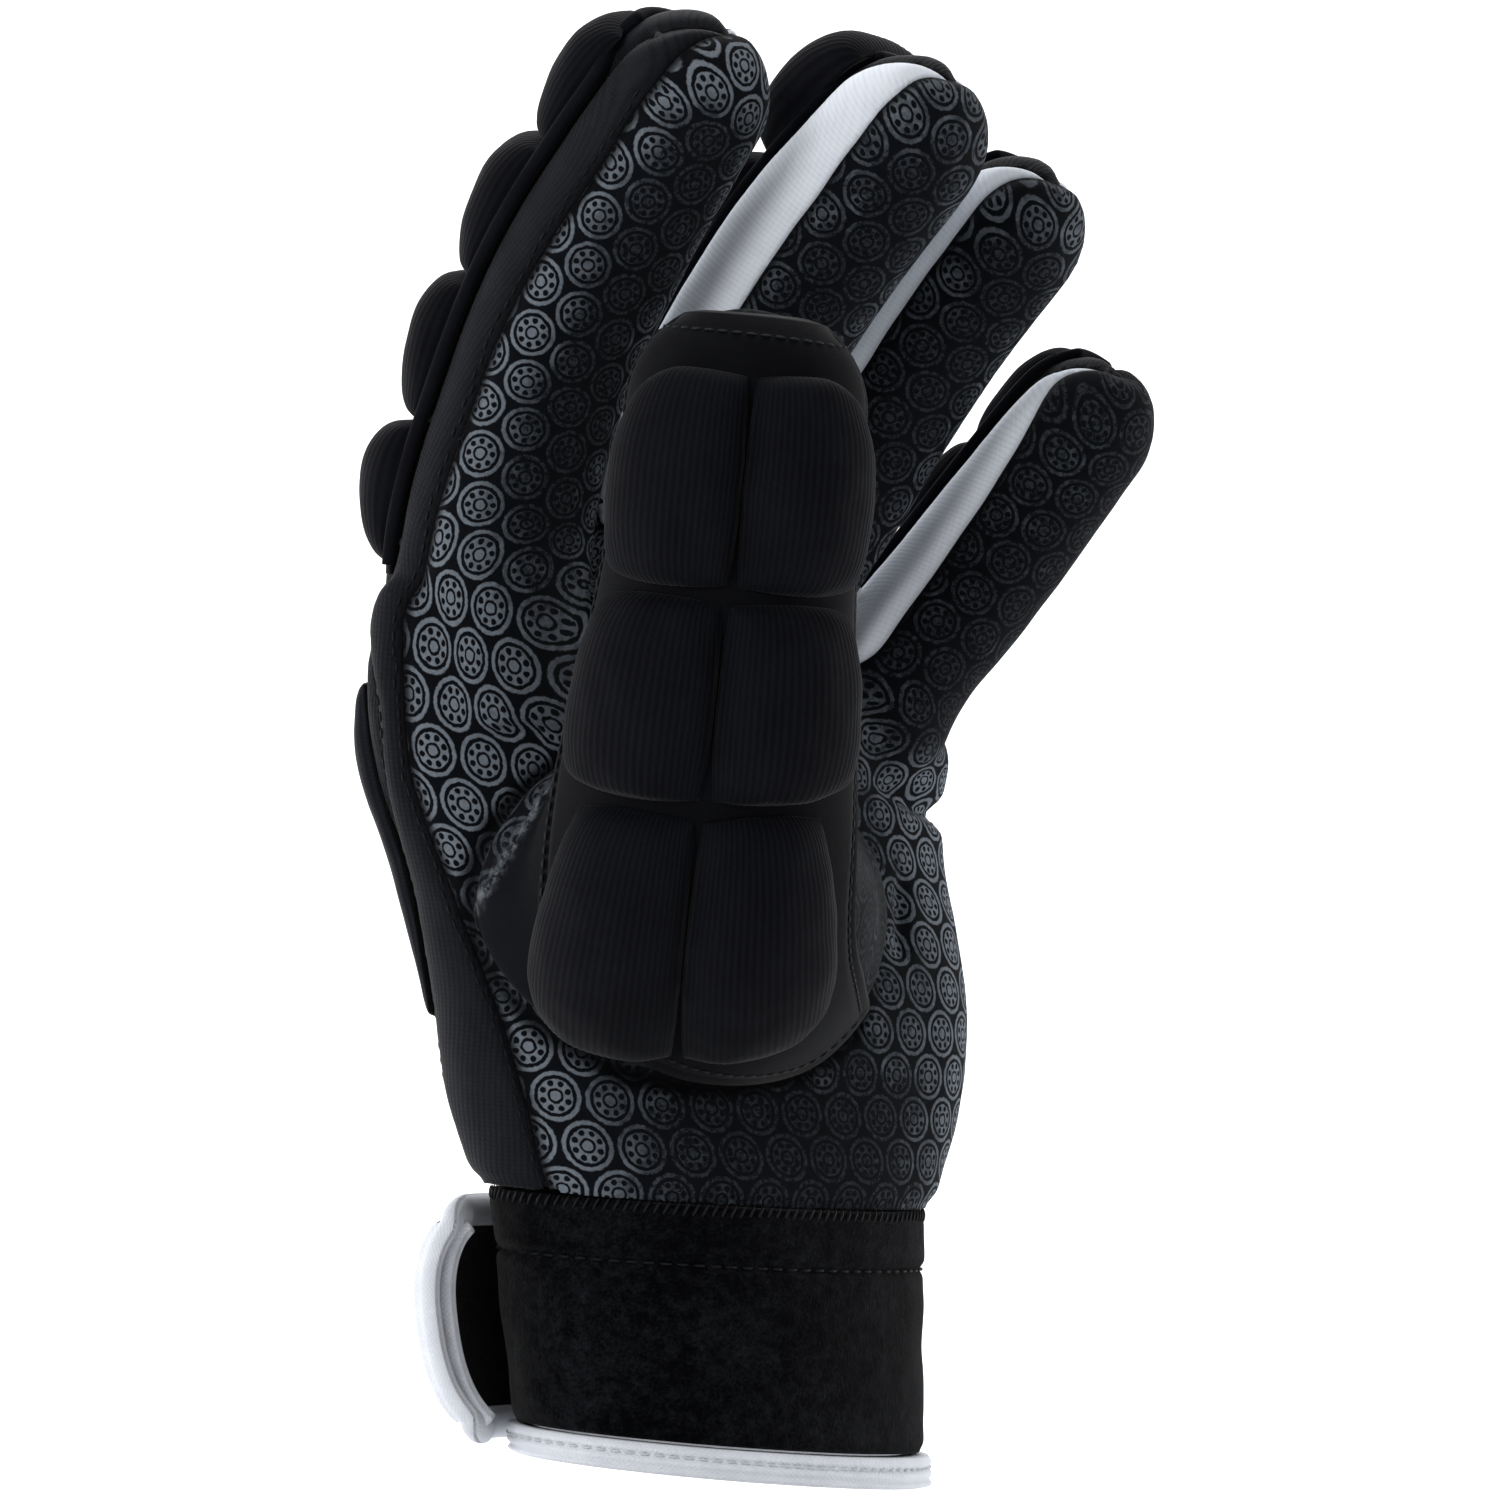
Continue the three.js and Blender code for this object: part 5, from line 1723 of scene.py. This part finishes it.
@dataclass
class FingerArmour:
    """The sheets and foam lobes on the finger backs, and the corded edge of each sheet."""

    skin: HandSkin
    wardrobe: Wardrobe
    sheet_wall: float = 0.7
    sheet_map: float = 15.0  # radius at which a sheet's map is unrolled
    lead: float = 0.01  # share of a finger by which its sheet starts below the first lobe

    def pads(self) -> list[Pad]:
        """The foam lobes."""
        made = []
        for finger, limb in zip(FINGERS, self.skin.fingers):
            start = finger.edge_from + {"index": 2, "middle": -1}.get(finger.name, 6)
            full = {"middle": 2.5, "little": 3.0}.get(finger.name, 2.05)
            low_end = 0.58 if finger.name == "index" else 1.0
            for i, (low, high, foam) in enumerate(zip(finger.pads, finger.pads[1:], finger.foam), start=1):
                made.append(Pad(f"{finger.name}_pad_{i}", limb, low, high, finger.armour_to - 3, start,
                                SHEET_OUT, foam, edge=0.3, columns=28, rows=15, full_along=full,
                                full_across=3.4, rib_depth=0.1, low_end=low_end))
        return made

    def build(self) -> None:
        """Builds the sheets and the corded edges."""
        for finger, limb in zip(FINGERS, self.skin.fingers):
            self._sheet(finger, limb)
            self._cord_edge(finger, limb)

    @staticmethod
    def _width(finger: Finger, part: np.ndarray) -> tuple[float, np.ndarray]:
        """The sheet's middle angle, and half the angle that it spans at parts of its length."""
        centre = (finger.armour_to + finger.edge_from) / 2
        half = (finger.armour_to - finger.edge_from) / 2
        return centre, half * np.sqrt(1 - 0.75 * smooth(0.86, 1.0, part) ** 2)

    def _sheet(self, finger: Finger, limb: Limb) -> None:
        """One sheet over a finger's back and round its tip."""
        rows, columns = 80, 36
        part = np.linspace(0, 1, rows)
        across = np.linspace(0, 1, columns)
        share = (finger.pads[0] - self.lead + (ARMOUR_END - finger.pads[0] + self.lead) * part)[:, None]
        centre, half = self._width(finger, part)
        angle = centre - half[:, None] * (2 * across[None, :] - 1)
        share, angle = np.broadcast_arrays(share, angle)
        edge = np.minimum(np.minimum(across, 1 - across)[None, :] * 26, (1 - part)[:, None] * 90)
        out = GAP + (SHEET_OUT - GAP) * (0.4 + 0.6 * smooth(0, 1.2, edge)) + 0 * share
        points = limb.point(share, angle, out)
        uv = unrolled(angle, self.sheet_map, share * limb.length)
        # A fixed crest lightens the sheet part-way, as the foam's painted highlight.
        numbers = {"crest": np.full(points[..., 0].size, 0.35)}
        name = f"{finger.name}_armour_base"
        piece = cloth_object(name, points.reshape(-1, 3), grid_faces(rows, columns), uv, numbers=numbers)
        thicken(piece, self.sheet_wall)
        self.wardrobe.dress(piece, Slot.FOAM, [name])

    def _cord_edge(self, finger: Finger, limb: Limb) -> None:
        """The thin corded edge where the sheet is sewn on."""
        part = np.linspace(0, 1, 120)
        share = finger.pads[0] + (ARMOUR_END - finger.pads[0]) * part
        centre, half = self._width(finger, part)
        over = np.linspace(-1, 1, 40)[1:-1]
        shares = np.concatenate([share, np.full(len(over), ARMOUR_END), share[::-1]])
        angles = np.concatenate([centre - half, centre + over * half[-1], centre + half[::-1]])
        route = limb.point(shares, angles, SHEET_OUT)
        for _ in range(3):
            route[1:-1] = (route[:-2] + 2 * route[1:-1] + route[2:]) / 4
        up = route - limb.point(shares, angles, -6)
        radius = 1.0 if finger.name == "index" else 0.7
        points, faces, uv = sweep(route, up, radius, 12, flat=1.25)
        # A high crest lightens the cord: a painted highlight along its ridge.
        piece = cloth_object(f"{finger.name}_corded_edge", points, faces, uv,
                             numbers={"crest": np.full(len(points), 0.6)})
        self.wardrobe.dress(piece, Slot.FOAM)


@dataclass
class HandPads:
    """The foam pad on the back of the hand."""

    skin: HandSkin
    wardrobe: Wardrobe

    def pads(self) -> list[Pad]:
        """The pad, ribbed wide and shallow and thick over the knuckles."""
        pad = Pad("hand_back_pad", self.skin.hand, 0.3, 0.81, 320, 194, 2 * GAP, HAND_PAD_HEIGHT, Slot.KNIT,
                  columns=44, rows=26, rib_depth=0.05, fill=0.6, full_along=3.0, full_across=3.0, edge=0.6,
                  low_end=HAND_PAD_TAPER)
        return [pad]


@dataclass
class CuffWork:
    """Brushed cuff, white hem binding, and the closing flap with its white edge."""

    wardrobe: Wardrobe
    stitcher: Stitcher
    band_map: float = 33.0  # radii at which the maps of cuff and hem are unrolled
    hem_map: float = 34.0
    flap_map: tuple[float, float] = (92.0, 36.0)  # the flap's length and width on its map
    line: float = 10.5  # how far below its top the cuff is sewn through
    low: float = 4.6  # the flap's span over the hem, and round the wrist
    high: float = 42.1
    start: float = 184.0
    end: float = 330.0
    sewn: float = 0.85  # share of the flap's length from which it is sewn down

    def build(self) -> None:
        """Builds every piece of the cuff."""
        self.wrist = Limb(WRIST)
        self._band()
        self._hem()
        self._flap(self._flap_edge())

    def _share(self, height: Any) -> np.ndarray:
        """Share of the wrist's length at heights over the hem."""
        return np.interp(height, self.wrist.centre[:, 2], self.wrist.grid)

    def _band(self) -> None:
        """The cuff itself, softly creased, with two sewn lines near its top."""
        rows, columns = 70, 200
        height = np.linspace(HEM_HEIGHT + GAP, CUFF_TOP - GAP, rows)
        angle = np.linspace(0, 360, columns, endpoint=False)
        hh, aa = np.meshgrid(height, angle, indexing="ij")
        top = CUFF_TOP - hh
        out = -0.9 * bell(top - 0.2, 1.6) - 0.75 * bell(top - self.line, 0.9)
        out -= 0.9 * bell(hh - HEM_HEIGHT, 1.4)
        points = self.wrist.point(self._share(hh), aa, out).reshape(-1, 3)
        waves = 0.45 * ripple(points * np.array([1, 1, 2.2]), 17.0, seed=2.0) + 0.15 * ripple(points, 5.0)
        middle = self.wrist.point(self._share(hh), aa, -10).reshape(-1, 3)
        calm = smooth(0, 3, np.minimum(top, hh - HEM_HEIGHT)).reshape(-1, 1)
        points += (points - middle) / 10 * waves[:, None] * calm
        uv = unrolled(aa, self.band_map, hh)
        faces = turned(grid_faces(rows, columns, closed=True))
        piece = cloth_object("cuff_band", points, faces, uv, wrap=2 * math.pi * self.band_map)
        thicken(piece, CUFF_WALL)
        self.wardrobe.dress(piece, Slot.LOOP, ["cuff_band"])
        places, ways, ups = self._round(CUFF_TOP - self.line, -0.55, 2.9)
        line = self.stitcher.row("cuff_line_stitches", places, ways, ups, 2.0, 0.5)
        places, ways, ups = self._round(CUFF_TOP - 1.2, -0.4, 1.7)
        upward = np.cross(ups, ways) + 0.45 * ways
        upward *= np.sign(upward[:, 2:3])
        top_line = self.stitcher.row("cuff_top_stitches", places, upward, ups, 2.6, 0.5)
        for row in (line, top_line):
            self.wardrobe.dress(row, Slot.LOOP, thread=self.wardrobe.black_thread)

    def _round(self, height: float, out: float, pitch: float) -> tuple[np.ndarray, np.ndarray, np.ndarray]:
        """Finds the places of a row of stitches round the cuff.

        Args:
            height: Height over the hem.
            out: Distance out from the cuff's wall.
            pitch: Distance from stitch to stitch.

        Returns:
            The places, the directions along the row and those out of the cuff.
        """
        places, ways = spaced(self.wrist.point(self._share(height), np.linspace(0, 360, 361), out), pitch)
        away = self.wrist.out_of(places)
        away[:, 2] = 0
        return places, ways, unit(away)

    def _hem(self) -> None:
        """The white tape folded over the cuff's lower edge, with two sewn grooves."""
        columns = 240
        inner = -CUFF_WALL - HEM_PROUD + 0.2
        outer = HEM_PROUD
        down = np.linspace(HEM_HEIGHT - 0.2, HEM_LOW, 16)
        turn = np.linspace(0, math.pi, 9)[1:-1]
        up = np.linspace(HEM_LOW, HEM_HEIGHT - 0.2, 8)
        grooves = 0.55 * (bell(down - HEM_SEAM, 0.45) + bell(down - HEM_LOW - 0.6, 0.4))
        under = (outer + inner) / 2 + (outer - inner) / 2 * np.cos(turn)
        table = np.stack([
            np.concatenate([down, HEM_LOW - 0.9 * np.sin(turn), up]),
            np.concatenate([outer - 0.5 * smooth(4.8, 6, down) - grooves, under, np.full(len(up), inner)]),
        ], -1)
        run = run_along(table)
        angle = np.linspace(0, 360, columns, endpoint=False)
        wave = 0.35 * np.sin(np.radians(angle * 3 + 40)) + 0.2 * np.sin(np.radians(angle * 7))
        hh = table[:, 0][:, None] + 0 * angle[None, :]
        oo = table[:, 1][:, None] + 0.18 * wave[None, :]
        points = self.wrist.point(self._share(hh), angle[None, :] + 0 * hh, oo)
        uv = unrolled(angle[None, :], self.hem_map, run[:, None])
        last = (len(table) - 1) * columns
        faces = turned(grid_faces(len(table), columns, closed=True))
        faces += [(last + k, k, (k + 1) % columns, last + (k + 1) % columns) for k in range(columns)]
        piece = cloth_object("hem_binding", points.reshape(-1, 3), faces, uv, wrap=2 * math.pi * self.hem_map)
        face_out(piece)
        self.wardrobe.dress(piece, Slot.BINDING, ["hem_binding"])
        places, ways, ups = self._round(HEM_SEAM, HEM_PROUD - 0.25, 2.5)
        row = self.stitcher.row("hem_stitches", places, ways, ups, 1.8, 0.4)
        self.wardrobe.dress(row, Slot.BINDING, thread=self.wardrobe.white_thread)

    def _lift(self, u: np.ndarray, v: np.ndarray) -> np.ndarray:
        """How far the flap's middle stands off the cuff at a place across (u) and along it (v)."""
        seat = HEM_PROUD + 4 * GAP + BINDING_RADIUS
        bow = np.sqrt(np.maximum(0, 1 - np.abs(2 * u - 1) ** 2.4))
        return seat + FLAP_LIFT * bow * (1 - v) ** 3

    def _seated(self, v: np.ndarray) -> np.ndarray:
        """How far the flap is drawn down to its seam, from 0 to 1, at places along it."""
        return smooth(self.sewn - 0.05, self.sewn + 0.08, v)

    def _place(self, u: np.ndarray, v: np.ndarray, out: np.ndarray) -> np.ndarray:
        """A point over the flap's span."""
        low, high = self._share(self.low), self._share(self.high)
        return self.wrist.point(low + (high - low) * u, self.start + (self.end - self.start) * v, out)

    def _flap(self, binding: bpy.types.Object) -> None:
        """The flap, bowed away from the cuff at its free end."""
        rows, columns = 40, 110
        u, v = np.meshgrid(np.linspace(0.05, 0.95, rows), np.linspace(0.03, 1, columns), indexing="ij")
        lift = self._lift(u, v)
        points = self._place(u, v, lift + FLAP_WALL / 2 - 0.4 - (lift - FLAP_WALL - 0.8) * self._seated(v))
        uv = (np.stack([v, u], -1) * self.flap_map).reshape(-1, 2)
        piece = cloth_object("closure_flap", points.reshape(-1, 3), grid_faces(rows, columns), uv)
        self._toward(piece, points[rows // 2, columns // 2] - self._place(0.5, 0.5, 0.0))
        thicken(piece, FLAP_WALL * 0.8)
        self.wardrobe.dress(piece, Slot.LOOP, ["closure_flap"])

    @staticmethod
    def _toward(piece: bpy.types.Object, way: np.ndarray) -> None:
        """Turns an open sheet over if its middle face looks away from a direction."""
        mesh = piece.data
        normal = mesh.polygons[len(mesh.polygons) // 2].normal
        if normal.dot(Vector(way)) < 0:
            mesh.flip_normals()

    def _flap_edge(self) -> bpy.types.Object:
        """The white binding along the flap's lower edge, free end and upper edge, with its inner fold."""
        long = np.linspace(1, 0.1, 60)
        turn = np.linspace(0, math.pi / 2, 10)[1:-1]
        corner = np.stack([0.07 * (1 - np.cos(turn)), 0.1 * (1 - np.sin(turn))], -1)
        lower = np.stack([0 * long, long], -1)
        end = np.stack([np.linspace(0.07, 0.93, 50), np.zeros(50)], -1)
        upper_corner = np.stack([1 - corner[::-1, 0], corner[::-1, 1]], -1)
        upper = np.stack([np.ones_like(long), long[::-1]], -1)
        u, v = np.vstack([lower, corner, end, upper_corner, upper]).T
        lift = self._lift(u, v)
        route = self._place(u, v, lift - 0.55 * (lift - BINDING_RADIUS - 0.6) * self._seated(v))
        up = route - self._place(u, v, lift - 8)
        sides = 20
        points, faces, places = sweep(route, up, BINDING_RADIUS - 0.1, sides, flat=0.72)
        rings = points.reshape(len(route), sides, 3)
        pinch = 0.3 * bell(np.arange(sides) - sides / 4, 0.8)[None, :, None]
        rings = rings + (route[:, None, :] - rings) * pinch
        piece = cloth_object("closure_flap_binding", rings.reshape(-1, 3), faces, places)
        face_out(piece)
        self.wardrobe.dress(piece, Slot.BINDING, ["closure_flap_binding"])
        u = np.linspace(0.05, 0.95, 60)
        v = np.full(60, 0.02)
        lift = self._lift(u, v)
        route = self._place(u, v, lift - BINDING_RADIUS - 1.35)
        fold = cloth_object("flap_inner_fold", *sweep(route, route - self._place(u, v, lift - 12), 1.5, 14))
        face_out(fold)
        self.wardrobe.dress(fold, Slot.BINDING)
        return piece


@dataclass
class Studio:
    """Plain floor, soft lights and the camera at the photograph's angle."""

    def build(self) -> None:
        """Builds the surroundings."""
        self._floor()
        self._lights()
        self._camera()

    def _floor(self) -> None:
        """A pale sweep that rises behind the glove, in metres."""
        level, back, bend = -0.03, 2.3, 0.6
        profile = [(-4.0, level), (back, level)]
        for turn in np.linspace(0, math.pi / 2, 12)[1:]:
            profile.append((back + bend * math.sin(turn), level + bend - bend * math.cos(turn)))
        profile.append((back + bend, 4.0))
        points = np.array([(x, y, z) for y, z in profile for x in (-4.0, 4.0)]) / MM
        floor = cloth_object("floor", points, grid_faces(len(profile), 2))
        shader = Shader("floor", {})
        floor.data.materials.append(shader.finish(rgb(0.86, 0.86, 0.87), 0.9, shader.grain(40, 1), 0.01))

    def _lights(self) -> None:
        """A soft key from the front left, a rim light on each side, a top light and one on the backdrop."""
        world = bpy.data.worlds.new("room")
        world.use_nodes = True
        room = world.node_tree.nodes["Background"]
        room.inputs["Color"].default_value = rgb(1, 1, 1)
        room.inputs["Strength"].default_value = 0.45
        bpy.context.scene.world = world
        for name, place, aim, size, power in (
            ("key", (-0.7, -1.1, 0.7), (0, 0, 0.12), 0.5, 11),
            ("left rim", (-1.0, 0.35, 0.0), (0, 0, 0.1), 0.6, 13),
            ("right rim", (1.0, 0.35, 0.05), (0, 0, 0.12), 0.6, 10),
            ("top", (-0.1, 0.1, 1.1), (0, 0, 0.12), 0.5, 3),
            ("backdrop", (0.0, 1.4, 1.9), (0, 2.4, 0.2), 2.0, 80),
        ):
            data = bpy.data.lights.new(name, "AREA")
            data.size = size
            data.energy = power
            lamp = bpy.data.objects.new(name, data)
            lamp.location = place
            lamp.rotation_euler = (Vector(aim) - Vector(place)).to_track_quat("-Z", "Y").to_euler()
            bpy.context.scene.collection.objects.link(lamp)

    def _camera(self) -> None:
        """The camera, level and square to the glove's front."""
        data = bpy.data.cameras.new("camera")
        data.sensor_width = 36
        data.lens = 36 * CAMERA_DISTANCE / PHOTO_SPAN
        data.clip_end = 20
        camera = bpy.data.objects.new("camera", data)
        camera.location = (CAMERA_PLACE[0] * MM, -CAMERA_DISTANCE * MM, CAMERA_PLACE[1] * MM)
        camera.rotation_euler = (math.pi / 2, 0, 0)
        bpy.context.scene.collection.objects.link(camera)
        bpy.context.scene.camera = camera


def main() -> None:
    """Builds the glove's dressed pieces around the frame."""
    logging.basicConfig(level=logging.INFO, format="%(name)s: %(message)s")
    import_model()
    bpy.context.scene.view_settings.view_transform = "Standard"
    wardrobe = Wardrobe()
    stitcher = Stitcher()
    skin = HandSkin(wardrobe, stitcher)
    thumb = ThumbWork(skin, wardrobe, stitcher)
    armour = FingerArmour(skin, wardrobe)
    hand_pads = HandPads(skin, wardrobe)
    pads = thumb.pads() + armour.pads() + hand_pads.pads()
    PadBench(pads).fill()
    for pad in pads:
        piece = wardrobe.dress(pad.build(), pad.slot, [pad.name])
    skin.merge()
    skin.measure()
    skin.cut()
    skin.find_root()
    skin.shape()
    skin.build()
    skin.sew()
    thumb.build()
    armour.build()
    CuffWork(wardrobe, stitcher).build()
    Studio().build()


if __name__ == "__main__":
    main()
